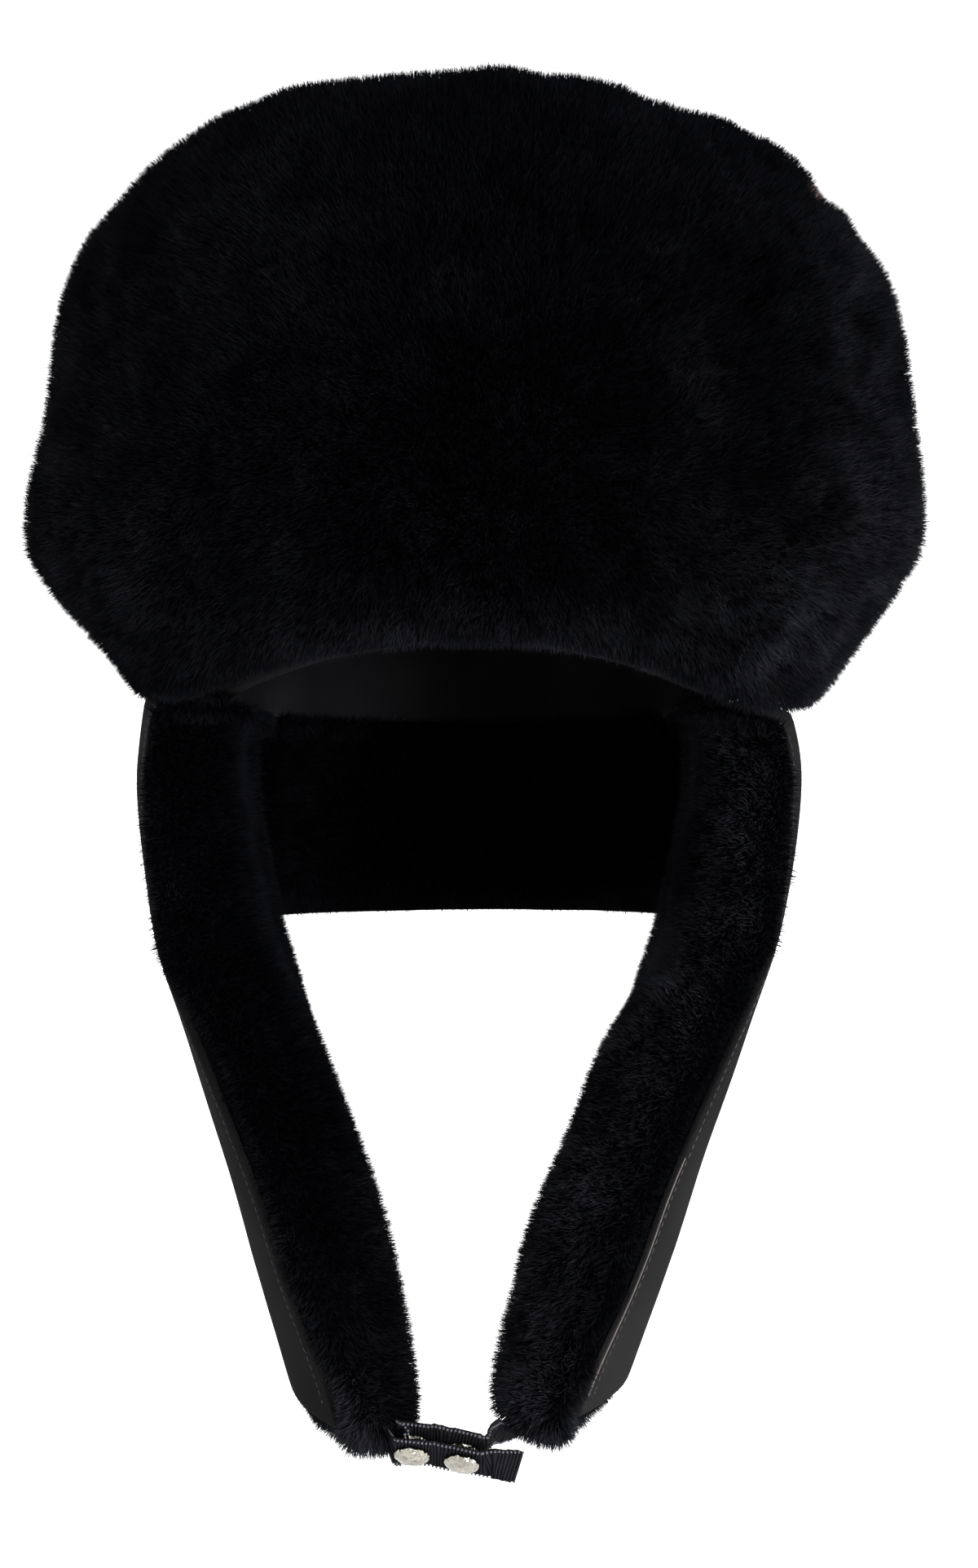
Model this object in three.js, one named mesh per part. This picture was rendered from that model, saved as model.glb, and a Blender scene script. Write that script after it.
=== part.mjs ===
// Fur ushanka with its ear flaps down and its chin strap snapped.
// Millimetres. +Z is up, the face looks along -Y and the wearer's left is +X.
// The origin is the middle of the head opening at the height of the crown's side rim.
import * as THREE from 'three';
import { mergeVertices } from 'three/addons/utils/BufferGeometryUtils.js';

// Head opening and crown
const OPENING_WIDTH = 168;
const OPENING_DEPTH = 208;
const CROWN_WALL = 6;
const CROWN_HEIGHT = 152;
const CROWN_FRONT_RISE = 16;
const GORE_COUNT = 6;
const GORE_CREASE = 3.6;

// Front flap
const FRONT_FLAP_WIDTH = 276;
const FRONT_FLAP_HEIGHT = 170;
const FRONT_FLAP_FUR = 24;
const FRONT_FLAP_FALL = 5;

// Ear flaps
const EAR_FLAP_SPREAD = 23;
const EAR_FLAP_DROP = 228;
const EAR_FLAP_REACH = 108;
const EAR_FLAP_FUR = 34;
const EAR_FLAP_SWING = 3;
const EAR_FLAP_LEFT_FULLER = 0.13;
const EAR_SEAM_BULGE = 6;
const EAR_BULGE_FROM = -46;
const EAR_BULGE_TO = 40;
const EAR_BULGE_EASE = 26;
const EAR_FLAP_HIKE = 4;

// Nape flap
const NAPE_DROP = 78;
const NAPE_SPREAD = 15;
const NAPE_FUR = 27;

// Cloth of every flap, clearance between pieces that touch, and the fur's edge and its soft tufts
const SHELL_CLOTH = 2;
const SEAT_GAP = 0.3;
const FUR_EDGE = 3;
const FUR_TUFT = 26;
const FUR_TUFT_RELIEF = 1.8;

// Chin strap and snaps
const STRAP_WIDTH = 16;
const STRAP_THICKNESS = 1.2;
const SNAP_SPACING = 15;
const CAP_DIAMETER = 10.8;
const CAP_HEIGHT = 2.5;
const SOCKET_DIAMETER = 9.6;
const SOCKET_HEIGHT = 1.1;
const STUD_DIAMETER = 8.4;
const STUD_BASE = 0.7;
const STUD_KNOB = 4;

const rimHalfWidth = OPENING_WIDTH / 2 + CROWN_WALL;
const rimHalfDepth = OPENING_DEPTH / 2 + CROWN_WALL;

// Crown outline from rim to top: height as a share of CROWN_HEIGHT, spread as a share of the rim.
const CROWN_ROWS = [
  { up: 0, spread: 1 },
  { up: 0.12, spread: 1.035 },
  { up: 0.3, spread: 1.07 },
  { up: 0.48, spread: 1.07 },
  { up: 0.64, spread: 1.01 },
  { up: 0.78, spread: 0.88 },
  { up: 0.89, spread: 0.67 },
  { up: 0.965, spread: 0.4 },
  { up: 1, spread: 0.12 },
];

// Front flap from its fold to its top: half widths as shares of FRONT_FLAP_WIDTH / 2,
// forward as a share of the rim's half depth and sweep (how far the ends lie behind the middle)
// as a share of FRONT_FLAP_WIDTH / 2.
const FRONT_ROWS = [
  { up: 0, left: 0.75, right: 0.785, forward: 1.06, sweep: 0.46 },
  { up: 0.1, left: 0.79, right: 0.84, forward: 1.09, sweep: 0.46 },
  { up: 0.25, left: 0.91, right: 0.95, forward: 1.12, sweep: 0.45 },
  { up: 0.35, left: 0.995, right: 1.02, forward: 1.14, sweep: 0.44 },
  { up: 0.48, left: 0.95, right: 1.0, forward: 1.14, sweep: 0.43 },
  { up: 0.65, left: 0.92, right: 0.985, forward: 1.11, sweep: 0.42 },
  { up: 0.85, left: 0.905, right: 0.955, forward: 1.03, sweep: 0.38 },
  { up: 1, left: 0.86, right: 0.9, forward: 0.92, sweep: 0.32 },
];

// Top edge of the front flap: height as a share of FRONT_FLAP_HEIGHT above the fold.
const FRONT_TOP = [
  { across: -1, up: 0.66 },
  { across: -0.9, up: 0.775 },
  { across: -0.75, up: 0.86 },
  { across: -0.6, up: 0.915 },
  { across: -0.45, up: 0.95 },
  { across: -0.2, up: 0.955 },
  { across: 0, up: 0.958 },
  { across: 0.12, up: 0.975 },
  { across: 0.17, up: 0.958 },
  { across: 0.22, up: 0.978 },
  { across: 0.35, up: 0.945 },
  { across: 0.5, up: 0.925 },
  { across: 0.62, up: 0.92 },
  { across: 0.75, up: 0.86 },
  { across: 0.84, up: 0.815 },
  { across: 0.92, up: 0.77 },
  { across: 1, up: 0.69 },
];

// How far the front fur hangs past the fold, as a share of FRONT_FLAP_FALL.
const FRONT_FALL = [
  { across: -1, fall: -0.4 },
  { across: -0.75, fall: 0.7 },
  { across: -0.4, fall: 1 },
  { across: 0, fall: 1 },
  { across: 0.4, fall: 1 },
  { across: 0.72, fall: 1.8 },
  { across: 1, fall: 0.4 },
];

// Shallow dents and swells of the front fur: place as shares of the flap, depth as a share of the fur.
const FRONT_DENTS = [
  { across: -0.62, up: 0.58, wide: 0.2, high: 0.1, depth: 0.16 },
  { across: -0.35, up: 0.76, wide: 0.25, high: 0.12, depth: -0.1 },
  { across: 0.05, up: 0.62, wide: 0.55, high: 0.07, depth: 0.12 },
  { across: 0.52, up: 0.42, wide: 0.14, high: 0.12, depth: 0.2 },
  { across: 0.72, up: 0.24, wide: 0.16, high: 0.1, depth: -0.16 },
  { across: 0.8, up: 0.62, wide: 0.12, high: 0.2, depth: 0.14 },
  { across: -0.8, up: 0.28, wide: 0.2, high: 0.16, depth: -0.12 },
  { across: 0.2, up: 0.16, wide: 0.3, high: 0.08, depth: -0.1 },
];

// Ear flap from its seam down: drop is a share of EAR_FLAP_DROP. Front, middle and rear of each level
// stand out from the rim by these shares of EAR_FLAP_SPREAD, and its fur is a share of EAR_FLAP_FUR.
const EAR_OUT_ROWS = [
  { drop: 0, front: -0.6, middle: 0, rear: -0.4, fur: 0.38 },
  { drop: 0.012, front: 0.05, middle: 0.66, rear: 0.3, fur: 0.7 },
  { drop: 0.035, front: 0.34, middle: 0.82, rear: 0.5, fur: 0.9 },
  { drop: 0.12, front: 0.43, middle: 0.94, rear: 0.58, fur: 1 },
  { drop: 0.33, front: 0.2, middle: 0.53, rear: 0.38, fur: 1.08 },
  { drop: 0.44, front: -0.3, middle: 0.22, rear: 0.1, fur: 1.25 },
  { drop: 0.56, front: -0.85, middle: -0.17, rear: -0.2, fur: 1.3 },
  { drop: 0.67, front: -1.32, middle: -0.6, rear: -0.46, fur: 1.34 },
  { drop: 0.78, front: -1.68, middle: -0.97, rear: -0.74, fur: 1.3 },
  { drop: 0.9, front: -2.2, middle: -1.44, rear: -1.2, fur: 1.12 },
  { drop: 0.965, front: -2.4, middle: -1.72, rear: -1.5, fur: 1.04 },
  { drop: 1, front: -2.45, middle: -1.92, rear: -1.74, fur: 1.02 },
];
// The same places behind the middle of the opening, as shares of EAR_FLAP_REACH.
const EAR_BACK_ROWS = [
  { drop: 0, front: -0.54, middle: -0.04, rear: 0.45 },
  { drop: 0.012, front: -0.57, middle: -0.05, rear: 0.46 },
  { drop: 0.035, front: -0.58, middle: -0.06, rear: 0.46 },
  { drop: 0.12, front: -0.59, middle: -0.09, rear: 0.44 },
  { drop: 0.33, front: -0.65, middle: -0.17, rear: 0.37 },
  { drop: 0.44, front: -0.71, middle: -0.22, rear: 0.28 },
  { drop: 0.56, front: -0.76, middle: -0.28, rear: 0.19 },
  { drop: 0.67, front: -0.79, middle: -0.34, rear: 0.11 },
  { drop: 0.78, front: -0.815, middle: -0.39, rear: 0.03 },
  { drop: 0.9, front: -0.815, middle: -0.47, rear: -0.12 },
  { drop: 0.965, front: -0.79, middle: -0.53, rear: -0.26 },
  { drop: 1, front: -0.74, middle: -0.58, rear: -0.4 },
];

// Folds of the ear flap fur: place along the flap (drop) and from front to rear (back).
const EAR_FOLDS = [
  { drop: 0.36, back: 0.12, high: 0.035, wide: 0.3, depth: 0.2 },
  { drop: 0.25, back: 0.1, high: 0.06, wide: 0.25, depth: -0.1 },
  { drop: 0.5, back: 0.1, high: 0.1, wide: 0.25, depth: -0.08 },
  { drop: 0.83, back: 0.3, high: 0.05, wide: 0.2, depth: 0.1 },
];

// Nape flap from its seam down, with its middle and its fur as shares of NAPE_SPREAD and NAPE_FUR.
const NAPE_ROWS = [
  { drop: 0, out: 0, fur: 0.48 },
  { drop: 0.06, out: 0.55, fur: 0.75 },
  { drop: 0.16, out: 0.9, fur: 0.93 },
  { drop: 0.4, out: 1, fur: 1 },
  { drop: 0.8, out: 0.75, fur: 1 },
  { drop: 1, out: 0.5, fur: 0.8 },
];

// Chin strap: along runs from the right ear flap's end (-1) to the left one's (1), back is a share of
// EAR_FLAP_REACH, below is a share of STRAP_WIDTH under the flaps' ends, and tilt turns the ribbon's
// face down from level, in degrees.
const STRAP_FRONT_ROWS = [
  { along: -0.86, back: -0.62, below: 0, tilt: 90 },
  { along: -0.72, back: -0.69, below: 0.09, tilt: 84 },
  { along: -0.6, back: -0.77, below: 0.12, tilt: 68 },
  { along: -0.46, back: -0.83, below: -0.05, tilt: 50 },
  { along: -0.125, back: -0.85, below: -0.05, tilt: 46 },
  { along: 0.235, back: -0.855, below: 0.12, tilt: 42 },
  { along: 0.415, back: -0.85, below: 0.22, tilt: 36 },
];
const STRAP_BACK_ROWS = [
  { along: -0.485, back: -0.85, below: -0.26, tilt: 50 },
  { along: -0.365, back: -0.845, below: -0.2, tilt: 47 },
  { along: -0.125, back: -0.845, below: -0.16, tilt: 46 },
  { along: 0.235, back: -0.83, below: -0.08, tilt: 50 },
  { along: 0.47, back: -0.79, below: 0.04, tilt: 62 },
  { along: 0.7, back: -0.7, below: 0.12, tilt: 82 },
  { along: 0.84, back: -0.62, below: 0, tilt: 90 },
];
// The two snaps: side of the middle between them, and the slope of the ribbon there in degrees.
const SNAPS_ALONG = -0.13;
const SNAP_ROWS = [
  { side: -1, back: -0.845, below: -0.13, tilt: 46, slope: 4 },
  { side: 1, back: -0.85, below: 0.04, tilt: 46, slope: 11 },
];

const MATERIALS = {
  fur: { color: 0x0b0b0d, roughness: 0.95, metalness: 0 },
  cloth: { color: 0x17171a, roughness: 0.62, metalness: 0 },
  ribbon: { color: 0x111114, roughness: 0.7, metalness: 0 },
  metal: { color: 0xd4cfc4, roughness: 0.22, metalness: 1 },
};

const object = new THREE.Group();

function addPiece(name, geometry, materialName) {
  const mesh = new THREE.Mesh(geometry, new THREE.MeshStandardMaterial(MATERIALS[materialName]));
  mesh.name = name;
  object.add(mesh);
  return mesh;
}

// Smooth value of one column of a table at a place in its first column.
function readColumn(rows, place, column, at) {
  let next = rows.findIndex((row) => row[place] > at);
  if (next < 0) next = rows.length - 1;
  next = Math.max(next, 1);
  const from = rows[next - 1];
  const to = rows[next];
  const before = rows[Math.max(next - 2, 0)];
  const after = rows[Math.min(next + 1, rows.length - 1)];
  const width = to[place] - from[place];
  const t = THREE.MathUtils.clamp((at - from[place]) / width, 0, 1);
  const slopeFrom = ((to[column] - before[column]) / (to[place] - before[place])) * width;
  const slopeTo = ((after[column] - from[column]) / (after[place] - from[place])) * width;
  const t2 = t * t;
  const t3 = t2 * t;
  return (
    (2 * t3 - 3 * t2 + 1) * from[column] +
    (t3 - 2 * t2 + t) * slopeFrom +
    (3 * t2 - 2 * t3) * to[column] +
    (t3 - t2) * slopeTo
  );
}

// Zero at one end of a range and one at the other, with soft ends. The range may run downward.
function smooth(from, to, value) {
  const t = THREE.MathUtils.clamp((value - from) / (to - from), 0, 1);
  return t * t * (3 - 2 * t);
}

// One at the middle of a sheet and zero at its edges (-1 and 1), with a full round shoulder.
function shoulder(place, fullness) {
  return Math.pow(Math.max(0, 1 - Math.pow(Math.abs(place), fullness)), 0.45);
}

// One down to a place near the lower edge of a flap, then a round fall to zero at the edge.
function endRound(down, start) {
  return shoulder(Math.max(0, (down - start) / (1 - start)), 3);
}

// Sum of soft dents at a place, each row reaching wide and high around its middle.
function dentDepth(rows, firstAxis, secondAxis, first, second) {
  return rows.reduce((sum, row) => {
    const a = (first - row[firstAxis]) / row.wide;
    const b = (second - row[secondAxis]) / row.high;
    return sum + row.depth * Math.exp(-(a * a + b * b));
  }, 0);
}

// Depth between the tufts of the fur at a place on it, given as two lengths.
function tuftDepth(first, second) {
  const a = (Math.PI * first) / FUR_TUFT;
  const b = (Math.PI * second) / FUR_TUFT;
  const wave = 0.3 * Math.cos(a + 0.6 * Math.sin(b)) * Math.cos(0.8 * b) + 0.2 * Math.sin(1.7 * a - 0.9 * b);
  return FUR_TUFT_RELIEF * (0.5 + wave);
}

// Steps from 0 to 1 that lie closer together at the ends.
function easedSteps(count, ease) {
  return Array.from({ length: count + 1 }, (_, index) => {
    const even = index / count;
    const eased = 0.5 - 0.5 * Math.cos(Math.PI * even);
    return THREE.MathUtils.lerp(even, eased, ease);
  });
}

// Closed solid between two sheets of points with the same rows and columns.
function sheetSolid(inner, outer) {
  const rows = inner.length;
  const columns = inner[0].length;
  const points = [];
  [...inner, ...outer].flat().forEach((p) => points.push(p.x, p.y, p.z));
  const at = (layer, row, column) => layer * rows * columns + row * columns + column;
  const faces = [];
  const quad = (a, b, c, d) => faces.push(a, b, c, a, c, d);
  for (let row = 0; row + 1 < rows; row += 1) {
    for (let column = 0; column + 1 < columns; column += 1) {
      quad(at(1, row, column), at(1, row, column + 1), at(1, row + 1, column + 1), at(1, row + 1, column));
      quad(at(0, row, column), at(0, row + 1, column), at(0, row + 1, column + 1), at(0, row, column + 1));
    }
  }
  for (let column = 0; column + 1 < columns; column += 1) {
    const last = rows - 1;
    quad(at(0, 0, column), at(0, 0, column + 1), at(1, 0, column + 1), at(1, 0, column));
    quad(at(1, last, column), at(1, last, column + 1), at(0, last, column + 1), at(0, last, column));
  }
  for (let row = 0; row + 1 < rows; row += 1) {
    const last = columns - 1;
    quad(at(1, row, 0), at(1, row + 1, 0), at(0, row + 1, 0), at(0, row, 0));
    quad(at(0, row, last), at(0, row + 1, last), at(1, row + 1, last), at(1, row, last));
  }
  const geometry = new THREE.BufferGeometry();
  geometry.setAttribute('position', new THREE.Float32BufferAttribute(points, 3));
  geometry.setIndex(faces);
  return faceOutward(geometry);
}

function signedVolume(geometry) {
  const position = geometry.getAttribute('position');
  const index = geometry.getIndex();
  const [a, b, c] = [new THREE.Vector3(), new THREE.Vector3(), new THREE.Vector3()];
  let sum = 0;
  for (let k = 0; k < index.count; k += 3) {
    a.fromBufferAttribute(position, index.getX(k));
    b.fromBufferAttribute(position, index.getX(k + 1));
    c.fromBufferAttribute(position, index.getX(k + 2));
    sum += a.dot(b.cross(c)) / 6;
  }
  return sum;
}

function faceOutward(geometry) {
  if (signedVolume(geometry) < 0) geometry.getIndex().array.reverse();
  geometry.computeVertexNormals();
  return geometry;
}

// Crown. The steps across a gore lie closer together at its seams.
const GORE_STEPS = [0, 0.05, 0.14, 0.3, 0.5, 0.7, 0.86, 0.95];
const crownHeightInside = CROWN_HEIGHT - CROWN_WALL;

// Height of the crown's rim: it rises over the forehead.
function rimHeight(angle) {
  const front = Math.max(0, -Math.cos(angle));
  return CROWN_FRONT_RISE * front * front;
}

// Outside of the crown at a height, as a share of its rim, without the creases of its seams.
function crownSpread(angle, height) {
  const rim = rimHeight(angle);
  const up = THREE.MathUtils.clamp((height - rim) / (CROWN_HEIGHT - rim), 0, 1);
  return readColumn(CROWN_ROWS, 'up', 'spread', up);
}

// angle turns from the back (0) over the wearer's left side (90 degrees) to the front.
function crownPoint(angle, up, wall) {
  const spread = readColumn(CROWN_ROWS, 'up', 'spread', up);
  const seam = Math.pow(Math.cos((angle * GORE_COUNT) / 2), 16);
  const crease = GORE_CREASE * seam * smooth(0.02, 0.3, up) * smooth(0.05, 0.5, spread);
  const height = CROWN_HEIGHT - wall;
  return new THREE.Vector3(
    Math.sin(angle) * (rimHalfWidth * spread - wall - crease),
    Math.cos(angle) * (rimHalfDepth * spread - wall - crease),
    THREE.MathUtils.lerp(rimHeight(angle), height, up),
  );
}

function buildCrown() {
  const angles = Array.from({ length: GORE_COUNT }, (_, gore) =>
    GORE_STEPS.map((step) => ((gore + step) / GORE_COUNT) * 2 * Math.PI),
  ).flat();
  const sides = angles.length;
  const ups = [0, 0.08, 0.18, 0.32, 0.46, 0.6, 0.72, 0.82, 0.9, 0.96, 1];
  const points = [];
  const faces = [];
  const rings = [...ups.map((up) => [up, 0]), ...ups.map((up) => [up, CROWN_WALL]).reverse()];
  const outerTop = ups.length - 1;
  rings.forEach(([up, wall]) => {
    angles.forEach((angle) => {
      const p = crownPoint(angle, up, wall);
      points.push(p.x, p.y, p.z);
    });
  });
  const at = (ring, side) => ring * sides + (side % sides);
  for (let ring = 0; ring < rings.length; ring += 1) {
    if (ring === outerTop) continue;
    const next = (ring + 1) % rings.length;
    for (let side = 0; side < sides; side += 1) {
      faces.push(at(ring, side), at(ring, side + 1), at(next, side + 1));
      faces.push(at(ring, side), at(next, side + 1), at(next, side));
    }
  }
  // The two small rings at the top close on a middle point each.
  [[outerTop, CROWN_HEIGHT], [outerTop + 1, crownHeightInside]].forEach(([ring, height], index) => {
    const middle = points.length / 3;
    points.push(0, 0, height);
    for (let side = 0; side < sides; side += 1) {
      const pair = [at(ring, side), at(ring, side + 1)];
      if (index === 1) pair.reverse();
      faces.push(pair[0], pair[1], middle);
    }
  });
  const geometry = new THREE.BufferGeometry();
  geometry.setAttribute('position', new THREE.Float32BufferAttribute(points, 3));
  geometry.setIndex(faces);
  return faceOutward(geometry);
}

// Front flap. Its fold stands clear of the rim under it.
const frontHalf = FRONT_FLAP_WIDTH / 2;
const foldClearance = 5 * SEAT_GAP;

// Place where cloth and fur of the front flap meet. across runs from -1 to 1 and up from 0 to 1.
function frontFlapPoint(across, up) {
  const column = across < 0 ? 'left' : 'right';
  const half = readColumn(FRONT_ROWS, 'up', column, up) * frontHalf;
  const x = across * half;
  const foldAngle = Math.PI - Math.asin(THREE.MathUtils.clamp(x / rimHalfWidth, -1, 1));
  const fold = rimHeight(foldAngle) + foldClearance;
  const top = readColumn(FRONT_TOP, 'across', 'up', across) * FRONT_FLAP_HEIGHT + CROWN_FRONT_RISE;
  const z = THREE.MathUtils.lerp(fold, top, up);
  const forward = readColumn(FRONT_ROWS, 'up', 'forward', up) * rimHalfDepth;
  const sweep = readColumn(FRONT_ROWS, 'up', 'sweep', up) * frontHalf;
  const bend = (1 - Math.cos(across * 1.25)) / (1 - Math.cos(1.25));
  const free = -forward + sweep * bend;
  const clearance = SHELL_CLOTH + 2 * SEAT_GAP;
  const spread = crownSpread(foldAngle, z);
  const wide = rimHalfWidth * spread + clearance;
  const deep = rimHalfDepth * spread + clearance;
  const onCrown = -deep * Math.sqrt(Math.max(0, 1 - (x / wide) ** 2));
  const seated = smooth(0.94, 0.4, Math.abs(x) / wide) * smooth(0.5, 0, up);
  return new THREE.Vector3(x, THREE.MathUtils.lerp(free, onCrown, seated), z);
}

// Unit direction away from the wearer, square to a surface given by its two shares.
function faceDirection(surface, first, second, step) {
  const low = surface(first - step, second);
  const high = surface(first + step, second);
  const below = surface(first, Math.max(0, second - step));
  const above = surface(first, Math.min(1, second + step));
  return high.sub(low).cross(above.sub(below)).normalize();
}

function frontSheet(steps, offset) {
  return steps.up.map((up) =>
    steps.across.map((across) => {
      const direction = faceDirection(frontFlapPoint, across, up, 0.02);
      return offset(frontFlapPoint(across, up), direction, across, up);
    }),
  );
}

function buildFrontFlap() {
  const furSteps = {
    across: easedSteps(28, 0.55).map((step) => step * 2 - 1),
    up: easedSteps(13, 0.6),
  };
  const furInner = frontSheet(furSteps, (point, direction) =>
    point.addScaledVector(direction, SEAT_GAP / 2),
  );
  const furOuter = frontSheet(furSteps, (point, direction, across, up) => {
    const round = shoulder(across, 5) * shoulder(2 * up - 1, 4);
    const dent = dentDepth(FRONT_DENTS, 'across', 'up', across, up);
    const tuft = tuftDepth(across * frontHalf, up * FRONT_FLAP_HEIGHT);
    const thick = THREE.MathUtils.lerp(FUR_EDGE, FRONT_FLAP_FUR - tuft, round * (1 - dent));
    point.addScaledVector(direction, thick + SEAT_GAP / 2);
    point.z -= readColumn(FRONT_FALL, 'across', 'fall', across) * FRONT_FLAP_FALL * Math.pow(1 - up, 6);
    return point;
  });
  addPiece('front_flap_fur', sheetSolid(furInner, furOuter), 'fur');

  // The cloth stops one step inside the fur's edge.
  const clothSteps = { across: furSteps.across.slice(1, -1), up: furSteps.up.slice(0, -1) };
  const clothOuter = frontSheet(clothSteps, (point, direction) =>
    point.addScaledVector(direction, -SEAT_GAP / 2),
  );
  const clothInner = frontSheet(clothSteps, (point, direction) =>
    point.addScaledVector(direction, -SEAT_GAP / 2 - SHELL_CLOTH),
  );
  addPiece('front_flap_backing', sheetSolid(clothInner, clothOuter), 'cloth');
}

// Ear flaps. Ear and nape flap share the levels of the seam between them.
const seamShare = NAPE_DROP / EAR_FLAP_DROP;
const SEAM_STEPS = [0, 0.035, 0.09, 0.18, 0.3, 0.47, 0.67, 0.86, 1];
const LOWER_STEPS = [0.07, 0.16, 0.27, 0.39, 0.51, 0.63, 0.74, 0.83, 0.91, 0.96, 1];

// Distance from the middle plane of the rim's outside, at a place along the rim.
function rimOut(back) {
  return rimHalfWidth * Math.sqrt(Math.max(0, 1 - (back / rimHalfDepth) ** 2));
}

// One corner of an ear flap's level: out from the rim's half width, back along the opening.
function earCorner(down, name) {
  const out = readColumn(EAR_OUT_ROWS, 'drop', name, down) * EAR_FLAP_SPREAD;
  const back = readColumn(EAR_BACK_ROWS, 'drop', name, down) * EAR_FLAP_REACH;
  const seam = smooth(0.03, 0, down);
  const x = THREE.MathUtils.lerp(rimHalfWidth + out, rimOut(back), seam);
  return new THREE.Vector2(x, back);
}

// Plan curve of one level of the left ear flap, front to rear, where its cloth and fur meet.
function earPlan(down) {
  const front = earCorner(down, 'front');
  const middle = earCorner(down, 'middle');
  const rear = earCorner(down, 'rear');
  const pull = middle.clone().multiplyScalar(2).sub(front.clone().add(rear).multiplyScalar(0.5));
  return new THREE.QuadraticBezierCurve(front, pull, rear);
}

// Point of a plan curve at a depth below the rim, on the wearer's left (1) or right (-1).
function hang(side, plan, depth) {
  const low = (depth / EAR_FLAP_DROP) ** 2;
  const hike = side > 0 ? EAR_FLAP_HIKE * low : 0;
  return new THREE.Vector3(side * plan.x - EAR_FLAP_SWING * low, plan.y, -SEAT_GAP - depth + hike);
}

// Level direction toward the face, square to a plan curve that runs along a tangent.
function inwardOf(side, tangent) {
  return new THREE.Vector3(-side * tangent.y, tangent.x, 0);
}

// How far an ear flap's outside bulges up past its seam, between the front flap's corner and the nape.
function seamBulge(back, down) {
  const front = smooth(EAR_BULGE_FROM, EAR_BULGE_FROM + EAR_BULGE_EASE, back);
  const rear = smooth(EAR_BULGE_TO, EAR_BULGE_TO - EAR_BULGE_EASE, back);
  return EAR_SEAM_BULGE * front * rear * smooth(0, 0.014, down) * smooth(0.2, 0.03, down);
}

function earSheet(side, steps, offset) {
  return steps.down.map((down) => {
    const plan = earPlan(down);
    return steps.along.map((along) => {
      const tangent = plan.getTangent(along);
      const run = new THREE.Vector3(side * tangent.x, tangent.y, 0);
      const point = hang(side, plan.getPoint(along), down * EAR_FLAP_DROP);
      return offset(point, inwardOf(side, tangent), run, along, down);
    });
  });
}

function buildEarFlap(side, name) {
  const furSteps = {
    along: [0, 0.015, 0.06, 0.15, 0.28, 0.45, 0.62, 0.78, 0.9, 0.97, 1],
    down: [
      ...SEAM_STEPS.map((step) => step * seamShare),
      ...LOWER_STEPS.map((step) => THREE.MathUtils.lerp(seamShare, 1, step)),
    ],
  };
  const furOuter = earSheet(side, furSteps, (point, inward, run, along, down) => {
    point.z += seamBulge(point.y, down);
    return point.addScaledVector(inward, SEAT_GAP / 2);
  });
  const furInner = earSheet(side, furSteps, (point, inward, run, along, down) => {
    const row = readColumn(EAR_OUT_ROWS, 'drop', 'fur', down);
    const round = shoulder(along * 2 - 1, 8) * endRound(down, 0.92);
    const fuller = side > 0 ? EAR_FLAP_LEFT_FULLER * smooth(0.6, 0.8, down) : 0;
    const fold = side > 0 ? dentDepth(EAR_FOLDS, 'back', 'drop', along, down) : 0;
    const fur = (row + fuller) * EAR_FLAP_FUR;
    const taper = 1 - 0.35 * along * smooth(0.3, 0.75, down);
    const tuft = tuftDepth(along * EAR_FLAP_REACH, down * EAR_FLAP_DROP);
    const thick = THREE.MathUtils.lerp(FUR_EDGE, fur * taper - tuft, round * (1 - fold));
    const front = Math.exp(-((along / 0.14) ** 2)) * smooth(0.02, 0.12, down) * smooth(1, 0.9, down);
    point.addScaledVector(inward, thick + SEAT_GAP / 2);
    return point.addScaledVector(run, -0.22 * EAR_FLAP_FUR * front * (1 - fold));
  });
  addPiece(`ear_flap_${name}_fur`, sheetSolid(furOuter, furInner), 'fur');

  const clothSteps = { along: furSteps.along.slice(1), down: furSteps.down.slice(0, -1) };
  const clothSheet = (depth) =>
    earSheet(side, clothSteps, (point, inward, run, along, down) => {
      point.z += seamBulge(point.y, down);
      return point.addScaledVector(inward, -SEAT_GAP / 2 - depth);
    });
  const clothInner = clothSheet(0);
  const clothOuter = clothSheet(SHELL_CLOTH);
  addPiece(`ear_flap_${name}_shell`, sheetSolid(clothInner, clothOuter), 'cloth');
}

// Nape flap

// Plan curve of one level of the nape flap's left half, where its cloth and fur meet. It leaves the ear
// flap's rear edge in that flap's own direction and runs to the middle of the back.
function napePlan(down) {
  const ear = earPlan((down * NAPE_DROP) / EAR_FLAP_DROP);
  const corner = ear.getPoint(1);
  const back = rimHalfDepth + readColumn(NAPE_ROWS, 'drop', 'out', down) * NAPE_SPREAD;
  const handle = 0.5 * (back - corner.y);
  return new THREE.CubicBezierCurve(
    corner,
    corner.clone().addScaledVector(ear.getTangent(1), handle),
    new THREE.Vector2(0.62 * corner.x, back),
    new THREE.Vector2(0, back),
  );
}

// along runs from the right ear flap's rear edge (-1) round the back (0) to the left one's (1).
function napeSheet(steps, offset) {
  return steps.down.map((down) => {
    const plan = napePlan(down);
    return steps.along.map((along) => {
      const side = along < 0 ? -1 : 1;
      const place = 1 - Math.abs(along);
      const point = hang(side, plan.getPoint(place), down * NAPE_DROP);
      return offset(point, inwardOf(side, plan.getTangent(place)), along, down);
    });
  });
}

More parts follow.
